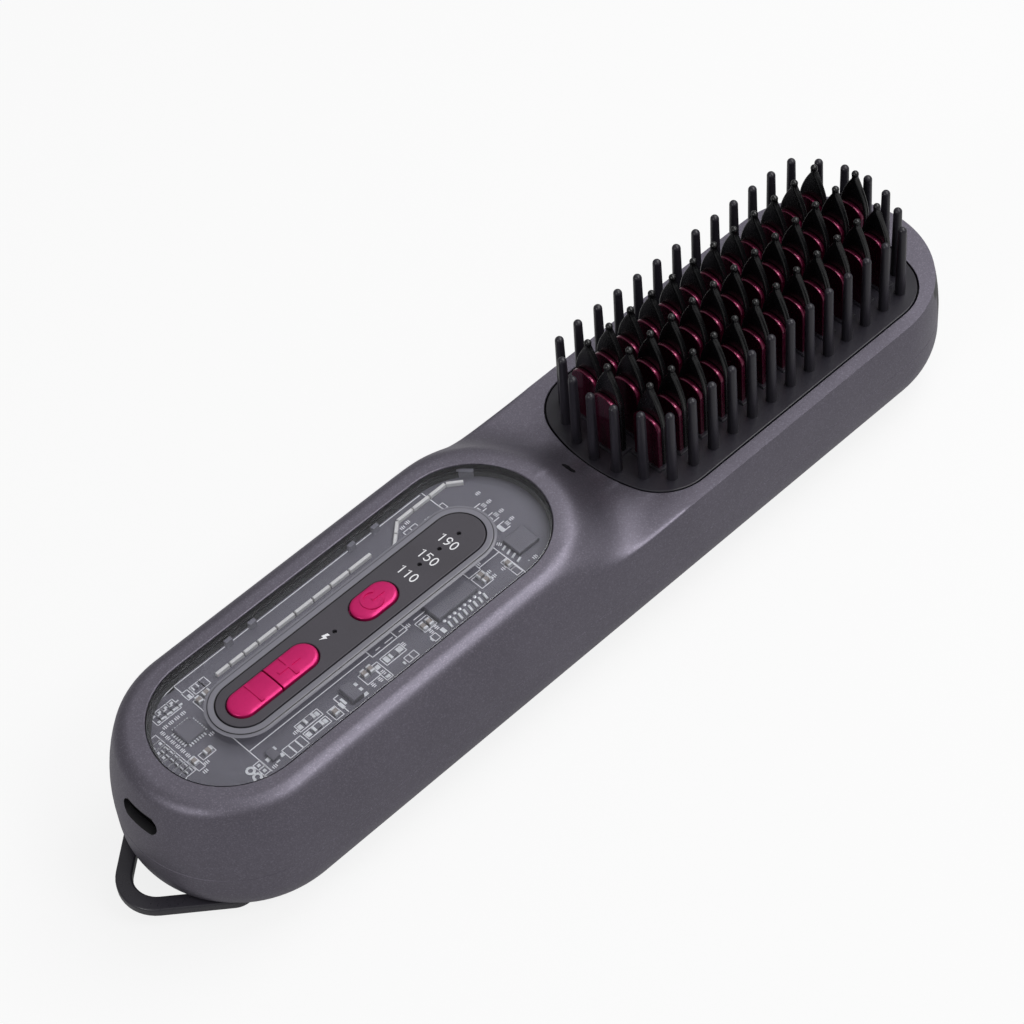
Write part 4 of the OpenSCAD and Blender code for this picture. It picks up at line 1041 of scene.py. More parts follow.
def comb_tree(name, rows):
    """Geometry Nodes tree that stands the object's own mesh on rows of points. A row is
    (count, start, step) or (count, centre, radius, start angle, sweep)."""
    tree = bpy.data.node_groups.new(name, "GeometryNodeTree")
    face = tree.interface
    face.new_socket("Geometry", in_out="INPUT", socket_type="NodeSocketGeometry")
    face.new_socket("Geometry", in_out="OUTPUT", socket_type="NodeSocketGeometry")
    face.new_socket("Material", in_out="INPUT", socket_type="NodeSocketMaterial")
    values = {}
    kind = {"Count": "Int", "Start": "Vector", "Step": "Vector", "Centre": "Vector"}
    for i, row in enumerate(rows):
        keys = ("Count", "Start", "Step") if len(row) == 3 else (
            "Count", "Centre", "Radius", "Start Angle", "Sweep")
        for key, value in zip(keys, row):
            label = f"{key} {i + 1}"
            values[label] = value
            face.new_socket(label, in_out="INPUT",
                            socket_type="NodeSocket" + kind.get(key, "Float"))
    ins = add(tree, "NodeGroupInput").outputs
    joined = add(tree, "GeometryNodeJoinGeometry")
    for i, row in enumerate(rows):
        tag = f" {i + 1}"
        if len(row) == 3:
            points = add(tree, "GeometryNodeMeshLine", {
                "Count": ins["Count" + tag], "Start Location": ins["Start" + tag],
                "Offset": ins["Step" + tag]}).outputs[0]
        else:
            curve = add(tree, "GeometryNodeCurveArc", {
                "Resolution": ins["Count" + tag], "Radius": ins["Radius" + tag],
                "Start Angle": ins["Start Angle" + tag], "Sweep Angle": ins["Sweep" + tag]})
            line = add(tree, "GeometryNodeCurveToMesh", {"Curve": curve.outputs[0]})
            points = add(tree, "GeometryNodeTransform", {
                "Geometry": line.outputs[0], "Translation": ins["Centre" + tag]}).outputs[0]
        tree.links.new(points, joined.inputs[0])
    stood = add(tree, "GeometryNodeInstanceOnPoints", {"Points": joined.outputs[0],
                                                      "Instance": ins["Geometry"]})
    real = add(tree, "GeometryNodeRealizeInstances", {"Geometry": stood.outputs[0]})
    dressed = add(tree, "GeometryNodeSetMaterial", {"Geometry": real.outputs[0],
                                                    "Material": ins["Material"]})
    add(tree, "NodeGroupOutput", {0: dressed.outputs[0]})
    return tree, values


def repeated(obj, name, rows, material):
    """Stands copies of an object's mesh on rows of points."""
    tree, values = comb_tree(name, rows)
    change = obj.modifiers.new(name, "NODES")
    change.node_group = tree
    values["Material"] = material
    for item in tree.interface.items_tree:
        if item.in_out == "INPUT" and item.name in values:
            change[item.identifier] = values[item.name]
    return settled(obj)


def teeth_row(side):
    """Row of teeth: 0 is the middle column, and 1 and -1 are the shorter ones beside it."""
    count = bpy.context.scene.comb_sizes.teeth - abs(side)
    pitch = size("tooth_pitch") * MM
    start = (PLATE_X * MM - (count - 1) / 2 * pitch, side * size("column_gap") * MM, 0.0)
    return (count, start, (pitch, 0.0, 0.0))


def crown(side):
    """Height of the top of a column's fins."""
    return DECK_Z + size("crown_height") + (1 - abs(side)) * size("crown_rise")


def plate_solid(outline, x0, x1, bevel):
    """Upright plate from an outline function, with its long edges bevelled."""
    loops = []
    for x, inset in ((x0, bevel), (x0 + 0.3 * bevel, 0.3 * bevel), (x0 + bevel, 0.0),
                     (x1 - bevel, 0.0), (x1 - 0.3 * bevel, 0.3 * bevel), (x1, bevel)):
        loops.append([(x, y, z) for y, z in outline(inset)])
    return loft("plate", loops)


SIDES = (("left", 1), ("middle", 0), ("right", -1))


class COMB_OT_fins(bpy.types.Operator):
    """Adds the three columns of anodised fins"""

    bl_idname = "comb.fins"
    bl_label = "Heated fins"

    def execute(self, context):
        half, thick, rise = size("fin_width") / 2, size("fin_thickness"), size("fin_arch")
        back = (thick + TOOTH_GAP + size("cap_thickness")) / 2
        for label, side in SIDES:
            top = crown(side)

            def outline(inset):
                arch = [((half - inset) * math.cos(a), top - rise + (rise - inset) * math.sin(a))
                        for a in np.linspace(0, math.pi, 25)]
                return [(half - inset, HEAT_FOOT), *arch, (inset - half, HEAT_FOOT)]

            fin = plate_solid(outline, -back, thick - back, 0.16)
            repeated(fin, f"fins_{label}_row", [teeth_row(side)], coat("anodised_fin"))
            finish(fin, f"fins_{label}_bevelled", "housing",
                   coat("anodised_fin"), [f"fins_{label}"], 50)
        return {"FINISHED"}


class COMB_OT_caps(bpy.types.Operator):
    """Adds the black caps behind the fins, each with a neck and a ball tip"""

    bl_idname = "comb.caps"
    bl_label = "Tooth caps"

    def execute(self, context):
        half, thick, ball = size("cap_width") / 2, size("cap_thickness"), size("ball_radius")
        front = (size("fin_thickness") + TOOTH_GAP + thick) / 2 - thick
        for label, side in SIDES:
            ball_z = crown(side) + size("cap_height") - ball
            shoulder = crown(side) - size("fin_arch") + 0.4
            flank = ball_z - 0.3 - shoulder
            last = (1 - CAP_NECK / half) ** (1 / CAP_CURVE)

            def outline(inset):
                right = [(half - inset, DECK_Z + 0.02)]
                right += [(half * (1 - t ** CAP_CURVE) - inset * (1 - 0.5 * t),
                           shoulder + flank * t) for t in np.linspace(0, last, 14)]
                right.append((CAP_NECK - 0.5 * inset, ball_z - 0.3))
                return right + [(-y, z) for y, z in reversed(right)]

            cap = plate_solid(outline, front, front + thick, 0.42)
            rows = [(ball * math.sin(a), ball_z - ball * math.cos(a))
                    for a in np.linspace(0.25, math.pi - 0.02, 12)]
            tip = turned("tip", rows, 18, (front + thick / 2, 0.0))
            combine(cap, [tip], "UNION")
            repeated(cap, f"caps_{label}_row", [teeth_row(side)], coat("cap_nylon"))
            finish(cap, f"caps_{label}_rounded", "housing", coat("cap_nylon"),
                   [f"caps_{label}"], 50)
        return {"FINISHED"}


class COMB_OT_pins(bpy.types.Operator):
    """Adds the guard pins around the comb"""

    bl_idname = "comb.pins"
    bl_label = "Guard pins"

    def execute(self, context):
        foot, tip, top = size("pin_foot"), size("pin_tip"), DECK_Z + size("pin_height")
        rows = [(foot - 0.1, 24.7), (foot, 24.8), (foot, DECK_Z + 0.3)]
        rows += [(tip * math.cos(a), top - tip + tip * math.sin(a))
                 for a in np.linspace(0.0, math.pi / 2 - 0.12, 7)]
        pin = turned("pin", rows, 18)
        pitch, arc_r, step = size("pin_pitch"), size("pin_arc"), math.radians(PIN_STEP)
        half_row, half_arc = (SIDE_PINS - 1) / 2, (END_PINS - 1) / 2 * step
        rows = [(SIDE_PINS, ((PLATE_X - half_row * pitch) * MM, s * size("pin_row") * MM, 0.0),
                 (pitch * MM, 0.0, 0.0)) for s in (-1, 1)]
        middle = (half_row + 1) * pitch - arc_r * math.cos(half_arc)
        rows += [(END_PINS, ((PLATE_X + s * middle) * MM, 0.0, 0.0), arc_r * MM,
                  (math.pi if s < 0 else 0.0) - half_arc, 2 * half_arc) for s in (-1, 1)]
        repeated(pin, "guard_pin_rows", rows, coat("comb_nylon"))
        finish(pin, "guard_pins_rounded", "housing", coat("comb_nylon"),
               ["guard_pins"])
        return {"FINISHED"}


class COMB_OT_comb_plate(bpy.types.Operator):
    """Adds the comb plate with the collars of the teeth"""

    bl_idname = "comb.comb_plate"
    bl_label = "Comb plate"

    def execute(self, context):
        rows = [(0.0, PLATE_BASE), (0.0, 25.75), (0.07, 25.9), (0.25, 26.0)]
        plate = loft("plate", [plate_loop(a, z, 16) for a, z in rows])
        finish(plate, "comb_plate_chamfered", "housing", coat("comb_nylon"),
               ["comb_plate"])
        half = size("cap_width") / 2 + 0.65
        deep = (size("fin_thickness") + TOOTH_GAP + size("cap_thickness")) / 2 + 0.65
        collar = box_solid("collar", (-deep, -half, 25.9), (deep, half, 26.4), 0.2)
        rows = [teeth_row(side) for _, side in SIDES]
        repeated(collar, "collar_rows", rows, coat("comb_nylon"))
        finish(collar, "tooth_collars", "housing", coat("comb_nylon"))
        return {"FINISHED"}


# ---------------------------------------------------------------- loop and socket


class COMB_OT_loop(bpy.types.Operator):
    """Adds the rounded hanging loop with its barrel, bored through for the hinge pin"""

    bl_idname = "comb.loop"
    bl_label = "Hanging loop"

    def execute(self, context):
        r, flat = size("strap_round"), STRAP_HALF
        profile = (arc(STRAP_W - r, flat - r, r, 90, 0, 5)
                   + arc(STRAP_W - r, r - flat, r, 0, -90, 5)
                   + arc(r, r - flat, r, -90, -180, 5) + arc(r, flat - r, r, 180, 90, 5))
        loops = [[(x, y, HINGE_Z + dz) for x, y in loop_line(inset)] for inset, dz in profile]
        strap = loft("strap", loops, True)
        rows = [(1.1, -16.3), (1.5, -16.2), (1.7, -15.9), (1.7, 15.9), (1.5, 16.2), (1.1, 16.3)]
        combine(strap, [shift(turned("barrel", rows, 28), HINGE_TURN)], "UNION")
        combine(strap, [shift(turned("bore", [(BORE_R, -20.0), (BORE_R, 20.0)], 24),
                              HINGE_TURN)])
        finish(tidy(strap), "hanging_loop_rounded", "hanging_loop",
               coat("loop_plastic"), ["hanging_loop"], 40)
        return {"FINISHED"}


class COMB_OT_socket(bpy.types.Operator):
    """Adds the contacts on the tongue of the charging socket"""

    bl_idname = "comb.socket"
    bl_label = "Socket contacts"

    def execute(self, context):
        strips = []
        for i in range(CONTACTS):
            y = (i - (CONTACTS - 1) / 2) * CONTACT_STEP
            strips += [box_solid("contact", (SOCKET_X + 1.0, y - CONTACT_HALF, SOCKET_Z + z),
                                 (SOCKET_X + 5.2, y + CONTACT_HALF, SOCKET_Z + z + 0.05))
                       for z in (0.34, -0.39)]
        finish(merged("contacts", strips), "socket_contacts", "housing",
               coat("gold"))
        return {"FINISHED"}


# ---------------------------------------------------------------- board


PRINT_TALL = 0.04                   # height of the ink above the board
# Printed rectangles around the parts: x, y, length, width
OUTLINES = (
    *((x, 12.05, 1.46, 2.9) for x in (-93.3, -91.8, -90.3, -88.8)),
    *((-97.4, y, 3.2, 1.46) for y in (8.5, 7.0, 5.5, 4.0, 2.5, 1.0, -0.5, -2.0)),
    (-91.7, -1.25, 3.2, 1.6), (-94.75, -1.7, 1.6, 3.4), (-85.3, 12.0, 1.4, 2.2),
    (-82.9, 12.0, 2.4, 2.2), (-81.0, 12.0, 1.4, 2.2), (-84.8, 8.3, 1.8, 3.4),
    (-86.9, -10.8, 1.6, 1.5), (-86.9, -12.5, 1.6, 1.7), (-80.8, -12.7, 1.6, 2.6),
    (-79.1, -12.7, 1.5, 2.6), (-77.5, -12.7, 1.4, 2.6), (-73.3, -9.9, 5.8, 1.9),
    (-73.3, -12.4, 5.8, 1.9), (-68.6, -12.4, 2.0, 2.8), (-58.0, -10.6, 3.5, 2.9),
    (-55.6, -11.6, 1.6, 4.8), (-51.4, -10.25, 5.2, 2.2), (-51.0, -10.2, 0.7, 0.9),
    (-48.6, -13.2, 1.4, 1.6), (-50.0, -13.2, 1.2, 1.6), (-42.8, -13.2, 1.4, 1.6),
    (-41.8, -9.4, 3.2, 3.0), (-26.6, -6.2, 3.2, 2.6), (-26.6, -9.65, 3.1, 3.2),
    (-20.35, -10.6, 1.5, 2.8), (-20.35, -13.0, 1.5, 1.9), (-28.2, 10.2, 1.6, 1.3),
    (-26.5, 10.2, 1.6, 1.3), (-18.7, 9.9, 1.0, 1.6),
)
# Printed lines, each along its points
TRACKS = (
    ((-96.4, 11.6), (-94.0, 13.5), (-92.0, 14.4), (-89.0, 15.2), (-86.0, 15.6), (-20.0, 15.6)),
    ((-85.8, 15.6), (-85.8, 13.1)), ((-86.0, -1.7), (-86.0, -13.6)),
    ((-86.0, -7.0), (-54.6, -7.0)), ((-54.6, -4.9), (-54.6, -7.8), (-45.3, -7.8), (-45.3, -4.9)),
    ((-48.0, -4.9), (-48.0, -7.8)), ((-53.0, -7.0), (-52.0, -7.0)), ((-50.6, -7.0), (-48.6, -7.0)),
    ((-46.8, -7.0), (-45.6, -7.0)), ((-42.8, -7.0), (-39.9, -7.0)), ((-54.0, -4.9), (-40.0, -4.9)),
    ((-24.8, -7.0), (-19.4, -7.0)), ((-19.4, -4.5), (-19.4, -14.2)), ((-19.3, 15.6), (-19.3, 9.0)),
    ((-65.4, -9.6), (-66.6, -9.6), (-66.6, -14.0)),
    *(((-15.1, y + s * 0.95), (-13.2, y + s * 0.95)) for y in (4.0, 0.4, -2.9) for s in (-1, 1)),
)
# Flat solder pads: x, y, length, width
PADS = (
    *((x, y, 0.7, 0.55) for x in (-93.3, -91.8, -90.3, -88.8) for y in (11.15, 12.85)),
    *((x, y, 0.6, 0.65) for x in (-98.2, -96.5) for y in (7.0, 5.5, 4.0)),
    (-85.3, 11.5, 0.7, 0.9), (-86.9, -10.8, 0.7, 0.6), (-86.9, -12.5, 0.7, 0.7),
    (-84.8, -11.1, 0.9, 0.9), (-82.2, -10.0, 0.6, 0.9), (-83.7, -12.8, 0.9, 0.35),
    (-82.2, -12.2, 0.8, 0.9), (-75.5, -9.9, 1.0, 1.1), (-71.2, -9.9, 0.8, 1.1),
    (-75.5, -12.4, 1.0, 1.1), (-71.2, -12.4, 0.8, 1.1), (-65.7, -11.5, 0.6, 1.7),
    (-66.6, -12.0, 0.8, 1.6), (-61.6, -10.2, 1.2, 0.8), (-61.6, -11.8, 1.2, 0.8),
    (-61.6, -13.4, 1.2, 0.8), (-55.6, -10.3, 1.0, 1.0), (-55.6, -13.4, 1.0, 0.7),
    (-53.1, -10.2, 1.1, 1.5), (-49.4, -10.2, 0.7, 1.3), (-51.3, -13.4, 0.5, 0.8),
    (-43.7, -13.2, 0.4, 0.9), (-40.6, -13.2, 0.9, 1.4), (-14.6, 4.0, 0.7, 0.9),
    (-14.6, 0.4, 0.7, 0.9), (-14.9, -2.9, 1.0, 1.7), (-23.6, 9.8, 0.45, 0.45),
    (-22.8, 9.8, 0.45, 0.45), *((-38.9 + 1.37 * i, -5.3, 0.5, 0.7) for i in range(8)),
    *((-16.9 + 1.6 * i, -13.0, 0.3, 0.3) for i in range(2)),
)
# Legs of the chips and raised joints: x, y, length, width, height, turn in degrees, chamfer
LEGS = (
    *((-38.75 + 1.37 * i, -13.2, 0.55, 1.7, 0.35, -12, 0.1) for i in range(8)),
    *((-18.1, y, 1.3, 0.42, 0.3, 18, 0.08) for y in (-7.1, -8.5, -9.9, -11.4)),
    *((x, 3.1 + 0.62 * i, 0.75, 0.3, 0.16, 0, 0.04) for x in (-93.45, -88.4) for i in range(7)),
    *((-92.78 + 0.62 * i, y, 0.3, 0.75, 0.16, 0, 0.04) for i in range(7) for y in (2.45, 7.5)),
    *((-13.0, y + d, 0.9, 0.2, 0.1, 0, 0.03) for y in (4.0, 0.4, -2.9) for d in (-0.4, 0, 0.4)),
)
RING_PADS = ((-88.8, -10.6), (-88.8, -12.6))
DOTS = tuple((-38.9 + 1.37 * i, -11.65) for i in range(8))
# Two-ended parts: x from the middle of the window's tail end, y, length, width
CAPACITORS = (
    (-11, -1.2, 1, 1.8), (15.2, -12.4, 1, 1.8), (25.2, -9.8, 1, 1.8), (26.8, -9.8, 1, 1.8),
    (41, -9.8, 1, 1.8), (42.6, -9.8, 1, 1.8), (63.4, -10.6, 1, 1.8), (-7.6, -1.2, 1.8, 1),
    (57.6, -8.8, 1.8, 1), (57.6, -10.4, 1.8, 1), (-0.9, 9.2, 1.0, 1.7), (1.2, 9.5, 1.7, 1.0),
)
RESISTORS = (
    *((-8.6 + 1.5 * i, 11.6, 0.8, 1.4) for i in range(4)),
    *((-13.2, 5 - 1.4 * i, 1.4, 0.8) for i in range(6)), (0.6, 12.2, 1.5, 0.9),
    (10.7, -9.8, 2.6, 1.2), (10.7, -12.4, 2.6, 1.2), (32.6, -10.4, 2.6, 1.2),
)
CAPACITOR_TALL, RESISTOR_TALL, END_SHARE = 0.8, 0.45, 0.26
# Chips: node, x, y, length, width, height
CHIPS = (("microcontroller", -90.8, 5.0, 4.5, 4.5, 0.9),
         ("driver_chip", -34.6, -8.8, 10.5, 4.9, 1.2),
         ("power_chip", -14.6, -8.4, 5.5, 4.9, 1.0))
# Two moulded parts that aren't nodes of the model, as rows of blocks()
MOULDED_PARTS = ((-83.5, -11.0, 1.8, 2.6, BOARD_Z, BOARD_Z + 0.8, 0, 0.1),
                 (-63.4, -11.4, 2.6, 4.4, BOARD_Z, BOARD_Z + 1.2, 0, 0.15))
# Light bars: the gaps of the straight row, and the corners of the bent one
BAR_GAPS, BAR_Y = (-78.7, -75.1, -71.4, -67.8, -62.8, -58.0, -53.2, -48.5, -43.5, -37.4), 11.2
BAR_BEND = ((-33.1, 9.0), (-30.6, 11.25), (-28.1, 13.5), (-23.8, 13.5), (-19.2, 13.5),
            (-14.7, 13.5), (-11.7, 11.1))
# Clear snap tabs that hold the cover to the board: x, y, length, width, turn in degrees
SNAP_TABS = (*((x, 15.2, 1.7, 0.9, 0) for x in (-71.8, -65.6, -39.0, -32.6)),
             (-10.1, 12.4, 3.6, 0.9, -48))
# Marks of three short dashes beside the parts: x, y, turn in degrees
DASHES = (
    *((x, 9.3, 90) for x in (-93.3, -91.8, -90.3, -88.8)),
    *((-94.6, y, 0) for y in (8.5, 7.0, 5.5, 4.0, 2.5, 1.0)), (-94.7, -4.3, 90),
    (-93.2, -2.9, 90), (-88.2, 1.5, 90), (-84.9, -13.2, 90), (-76.9, -10.2, 90),
    (-59.0, -12.9, 0), (-57.2, -12.9, 0), (-55.6, -12.0, 0), (-44.6, -7.2, 90),
    (-48.3, -9.9, 0), (-42.4, -11.6, 0), (-41.0, -11.6, 0), (-24.4, -9.2, 90),
    (-24.4, -10.7, 90), (-24.5, -6.2, 90), (-21.7, -10.7, 90), (-28.2, 11.9, 90),
    (-26.6, 12.2, 90), (-11.6, 7.2, 90), (-11.6, 4.0, 90), (-11.6, 0.4, 90),
    (-11.6, -2.6, 90), (-18.0, -5.6, 30), (-15.4, -13.2, 90),
)


def runs(points, change, width, top, chamfer=0.0):
    """Rows for blocks() that follow points, each longer than its stretch by change."""
    rows = []
    for (x0, y0), (x1, y1) in zip(points, points[1:]):
        rows.append(((x0 + x1) / 2, (y0 + y1) / 2, math.hypot(x1 - x0, y1 - y0) + change, width,
                     BOARD_Z, top, math.degrees(math.atan2(y1 - y0, x1 - x0)), chamfer))
    return rows


def tracks(points, width):
    """Rows for blocks() that draw a thin line along points."""
    return runs(points, width * 0.7, width, BOARD_Z + PRINT_TALL)


def chip_part(x, y, l, w, top):
    """Body and silver ends of a small two-ended part, longest between its ends."""
    side = l > w
    reach = (l if side else w) / 2
    cap = END_SHARE * reach * 2
    body = (x, y, l - 0.1 * side, w - 0.1 * (not side), BOARD_Z, BOARD_Z + top, 0, 0.06)
    ends = []
    for s in (-1, 1):
        d = s * (reach - cap / 2)
        ends.append((x + d, y, cap, w + 0.06, BOARD_Z, BOARD_Z + top + 0.03, 0, 0.08) if side
                    else (x, y + d, l + 0.06, cap, BOARD_Z, BOARD_Z + top + 0.03, 0, 0.08))
    return body, ends


class COMB_OT_board(bpy.types.Operator):
    """Adds the chips, small parts, light bars and printed lines of the control board"""

    bl_idname = "comb.board"
    bl_label = "Control board"

    def execute(self, context):
        z, tail = BOARD_Z, WINDOW[0]
        lines = []
        for x, y, l, w in OUTLINES:
            a, b = l / 2, w / 2
            lines += tracks([(x - a, y - b), (x + a, y - b), (x + a, y + b), (x - a, y + b),
                             (x - a, y - b)], 0.17)
        for points in TRACKS:
            lines += tracks(points, 0.2)
        for x, y, turn in DASHES:
            c, s = math.cos(math.radians(turn)), math.sin(math.radians(turn))
            lines += [(x - d * s, y + d * c, 0.9 - abs(d) * 0.5, 0.2, z, z + PRINT_TALL, turn)
                      for d in (-0.42, 0.0, 0.42)]
        finish(blocks("print", lines), "board_print", "housing", coat("print"))
        pads = [(x, y, l, w, z, z + 0.12, 0, 0.05) for x, y, l, w in PADS]
        pads += [(x, y, l, w, z, z + tall, turn, chamfer)
                 for x, y, l, w, tall, turn, chamfer in LEGS]
        beads = [turned("pad", ring_rows(1.0, 0.5, z, z + 0.08), 24, place, True)
                 for place in RING_PADS]
        beads += [turned("dot", [(0.36, z), (0.36, z + 0.1), (0.2, z + 0.16)], 14, place)
                  for place in DOTS]
        for name, slot, tall, parts in (
                ("capacitor", "chip_ceramic", CAPACITOR_TALL, CAPACITORS),
                ("resistor", "chip_resin", RESISTOR_TALL, RESISTORS)):
            bodies = []
            for x, y, l, w in parts:
                body, ends = chip_part(tail + x, y, l, w, tall)
                bodies.append(body)
                pads += ends
            finish(blocks(name, bodies), name + "_bodies", "housing", coat(slot),
                   [name + "s"])
        solder = merged("solder", [blocks("pads", pads), *beads])
        finish(solder, "board_solder", "housing", coat("solder"))
        for name, x, y, l, w, tall in CHIPS:
            chip = blocks(name, [(x, y, l, w, z, z + tall, 0, 0.16)])
            dot = turned("dot", [(0.3, z + tall - 0.05), (0.3, z + tall + 1)], 16,
                         (x + l / 2 - 0.8, y + w / 2 - 0.8))
            combine(chip, [dot])
            finish(chip, name + "_body", "housing", coat("chip_resin"), [name])
        finish(blocks("extra", MOULDED_PARTS), "board_blocks", "housing",
               coat("chip_resin"))
        bars = [((a + b) / 2, BAR_Y, b - a - 0.4, 0.72, z, z + 1.0, 0, 0.12)
                for a, b in zip(BAR_GAPS, BAR_GAPS[1:])]
        bars += runs(BAR_BEND, -0.3, 0.7, z + 1.0, 0.12)
        finish(blocks("bars", bars), "light_bar_guides", "housing",
               coat("led_resin"), ["light_bars"])
        tabs = [(x, y, l, w, z + 0.1, COVER_Z[0], turn, 0.1) for x, y, l, w, turn in SNAP_TABS]
        finish(blocks("tabs", tabs), "cover_snap_tabs", "housing",
               coat("clear_wall"))
        return {"FINISHED"}


# Nodes that take a darker finish than the one of their slot, as painted shade: they lie deep in
# the ion slot and the charging port
DARKER = {"ion_outlet": "outlet_painted_shade", "charging_socket": "steel_painted_shade"}


class COMB_OT_inner(bpy.types.Operator):
    """Gives every other node of the model its finish"""

    bl_idname = "comb.inner"
    bl_label = "Inner pieces"

    def execute(self, context):
        for row in frame["record"]["subparts"]:
            node = frame["nodes"][row["node"]]
            node.data.materials.clear()
            node.data.materials.append(coat(DARKER.get(row["node"], row["material_slot"])))
        return {"FINISHED"}


# ---------------------------------------------------------------- stage


WHITE = opaque("#FFFFFF")
# Camera: lens and sensor in millimetres, near and far limits and place in metres, and the
# directions of its right, up and back
LENS, SENSOR, CLIP = 107.9, 36.0, (0.05, 20.0)
CAMERA_PLACE = (-0.26630, -0.30889, 0.50368)
CAMERA_AXES = ((0.713284, -0.697616, -0.067519), (0.565956, 0.516472, 0.642613),
               (-0.413425, -0.496578, 0.763210))
# Soft boxes: name, place, point that they face, width, height, watts
LAMPS = (("key", (0.25, -0.7, 0.95), (0, 0, 0.02), 0.45, 0.35, 3.6),
         ("top", (0.34, -0.04, 0.62), (0.03, 0, 0.02), 0.4, 0.4, 2.2),
         ("left", (-0.95, -0.1, 0.6), (0, 0, 0.02), 0.4, 0.4, 2.4))
# Sky: its brightest direction, the strengths it runs between, and over what heights it does
SKY_WAY, SKY_STRENGTHS, SKY_HEIGHTS = (0.5, -0.3, 0.81), (0.1, 0.52), (0.05, 0.85)
FLOOR_HALF, FLOOR_Z = 3000, -0.2    # in millimetres
FLOOR_WHITE, MIRRORED_WHITE = 0.84, 0.2     # shares of plain white, to the eye and in a gloss


def shown_to(tree, direct, mirrored):
    """How much of the plain white a ray is shown: camera and transmission rays get direct,
    glossy rays mirrored, and rays that light the object nothing."""
    path = add(tree, "ShaderNodeLightPath").outputs
    seen = add(tree, "ShaderNodeMath", {0: path["Is Camera Ray"],
                                        1: path["Is Transmission Ray"]}, operation="MAXIMUM")
    full = add(tree, "ShaderNodeMath", {0: seen.outputs[0], 1: direct}, operation="MULTIPLY")
    part = add(tree, "ShaderNodeMath", {0: path["Is Glossy Ray"], 1: mirrored},
               operation="MULTIPLY")
    return add(tree, "ShaderNodeMath", {0: full.outputs[0], 1: part.outputs[0]},
               operation="MAXIMUM").outputs[0]


def floor_material():
    """Pale paper sweep: plain white to the eye, with a soft shadow left on it."""
    material = bpy.data.materials.new("paper_sweep")
    material.use_nodes = True
    tree = material.node_tree
    tree.nodes.clear()
    path = add(tree, "ShaderNodeLightPath").outputs
    paper = blend(tree, path["Is Camera Ray"], linear("#B2B2B2"), linear("#E4E4E4"))
    matte = add(tree, "ShaderNodeBsdfDiffuse", {"Color": paper})
    glow = add(tree, "ShaderNodeEmission", {"Color": WHITE, "Strength": 1.0})
    mix = add(tree, "ShaderNodeMixShader", {0: shown_to(tree, FLOOR_WHITE, MIRRORED_WHITE),
                                            1: matte.outputs[0], 2: glow.outputs[0]})
    add(tree, "ShaderNodeOutputMaterial", {0: mix.outputs[0]})
    return material


def studio_world():
    """Sky that is brighter overhead and to one side, and plain white to the eye."""
    world = bpy.data.worlds.new("studio")
    world.use_nodes = True
    tree = world.node_tree
    tree.nodes.clear()
    seen = shown_to(tree, 1.0, MIRRORED_WHITE)
    way = add(tree, "ShaderNodeTexCoord").outputs["Generated"]
    height = add(tree, "ShaderNodeVectorMath", {0: way, 1: SKY_WAY},
                 operation="DOT_PRODUCT").outputs["Value"]
    sky = add(tree, "ShaderNodeBackground", {
        "Color": WHITE, "Strength": spread(tree, height, *SKY_STRENGTHS, *SKY_HEIGHTS)})
    white = add(tree, "ShaderNodeBackground", {"Color": WHITE, "Strength": 1.0})
    mix = add(tree, "ShaderNodeMixShader", {0: seen, 1: sky.outputs[0], 2: white.outputs[0]})
    add(tree, "ShaderNodeOutputWorld", {0: mix.outputs[0]})
    return world


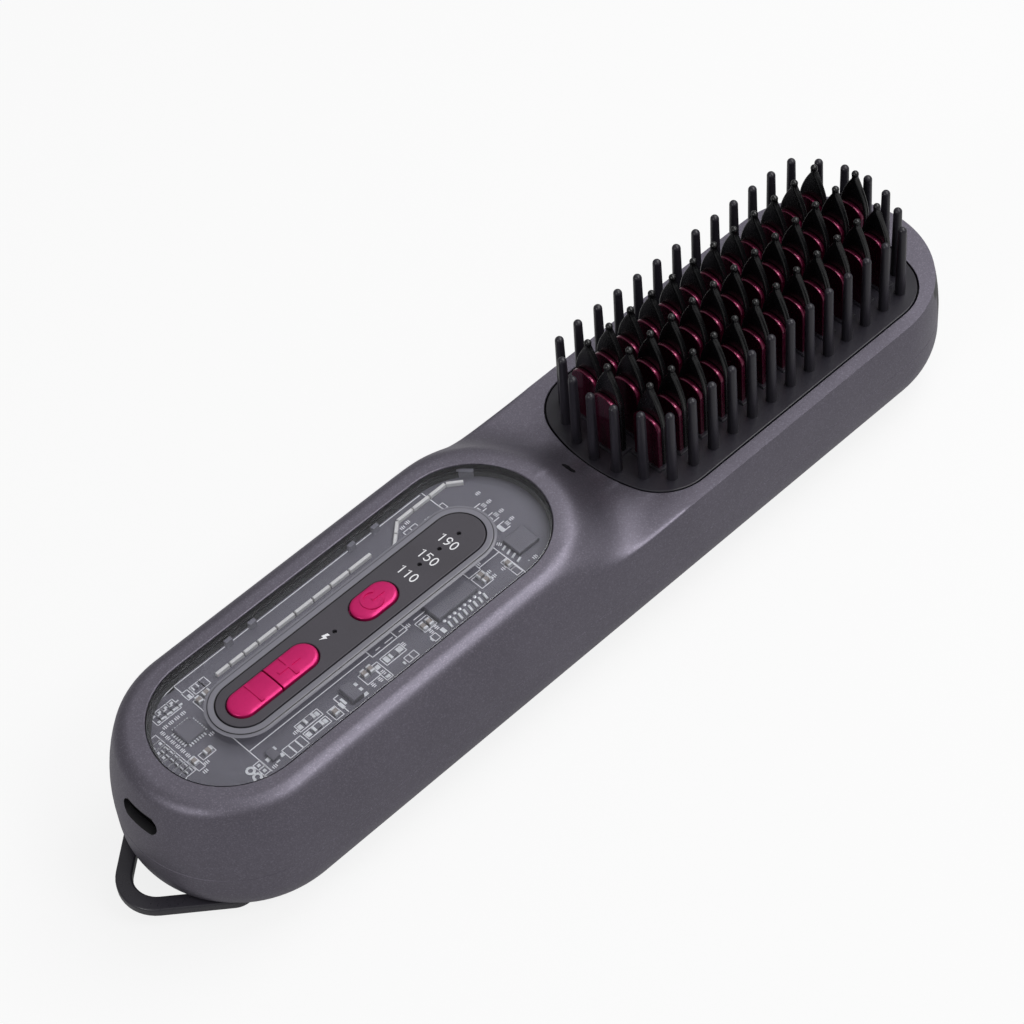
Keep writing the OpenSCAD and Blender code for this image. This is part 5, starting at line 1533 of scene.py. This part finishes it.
class COMB_OT_stage(bpy.types.Operator):
    """Adds the floor, the lamps and the camera"""

    bl_idname = "comb.stage"
    bl_label = "Stage"

    def execute(self, context):
        scene = context.scene
        scene.view_settings.view_transform = "Standard"
        data = bpy.data.cameras.new("camera")
        data.lens, data.sensor_width = LENS, SENSOR
        data.clip_start, data.clip_end = CLIP
        camera = bpy.data.objects.new("camera", data)
        turn = Matrix(CAMERA_AXES).transposed().to_4x4()
        camera.matrix_world = Matrix.Translation(CAMERA_PLACE) @ turn
        scene.collection.objects.link(camera)
        scene.camera = camera
        corners = ((-1, -1), (1, -1), (1, 1), (-1, 1))
        floor = loose("floor", [(x * FLOOR_HALF, y * FLOOR_HALF, FLOOR_Z) for x, y in corners],
                      [(0, 1, 2, 3)])
        floor.data.materials.append(floor_material())
        scene.world = studio_world()
        for name, place, aim, wide, tall, power in LAMPS:
            lamp = bpy.data.lights.new(name, "AREA")
            lamp.shape, lamp.size, lamp.size_y, lamp.energy = "RECTANGLE", wide, tall, power
            holder = bpy.data.objects.new(name, lamp)
            holder.location = place
            look = Vector(aim) - Vector(place)
            holder.rotation_euler = look.to_track_quat("-Z", "Y").to_euler()
            scene.collection.objects.link(holder)
        return {"FINISHED"}


# ---------------------------------------------------------------- panel


STEPS = (COMB_OT_stage, COMB_OT_inner, COMB_OT_upper_housing, COMB_OT_lower_housing,
         COMB_OT_window, COMB_OT_strip, COMB_OT_buttons, COMB_OT_board, COMB_OT_comb_plate,
         COMB_OT_fins, COMB_OT_caps, COMB_OT_pins, COMB_OT_loop, COMB_OT_socket)


class COMB_PT_panel(bpy.types.Panel):
    """Sidebar panel with the sizes, colours and pieces of the comb"""

    bl_idname = "COMB_PT_panel"
    bl_label = "Straightening comb"
    bl_space_type = "VIEW_3D"
    bl_region_type = "UI"
    bl_category = "Comb"

    def draw(self, context):
        layout = self.layout
        for group in (context.scene.comb_sizes, context.scene.comb_colours):
            column = layout.column(align=True)
            for name in group.bl_rna.properties.keys():
                if name not in ("rna_type", "name"):
                    column.prop(group, name)
        for step in STEPS:
            layout.operator(step.bl_idname)


CLASSES = (CombSizes, CombColours, *STEPS, COMB_PT_panel)


def register():
    for cls in CLASSES:
        bpy.utils.register_class(cls)
    bpy.types.Scene.comb_sizes = PointerProperty(type=CombSizes)
    bpy.types.Scene.comb_colours = PointerProperty(type=CombColours)


def unregister():
    del bpy.types.Scene.comb_colours
    del bpy.types.Scene.comb_sizes
    for cls in reversed(CLASSES):
        bpy.utils.unregister_class(cls)


def main():
    register()
    for step in STEPS:
        group, name = step.bl_idname.split(".")
        getattr(getattr(bpy.ops, group), name)()


if __name__ == "__main__":
    main()
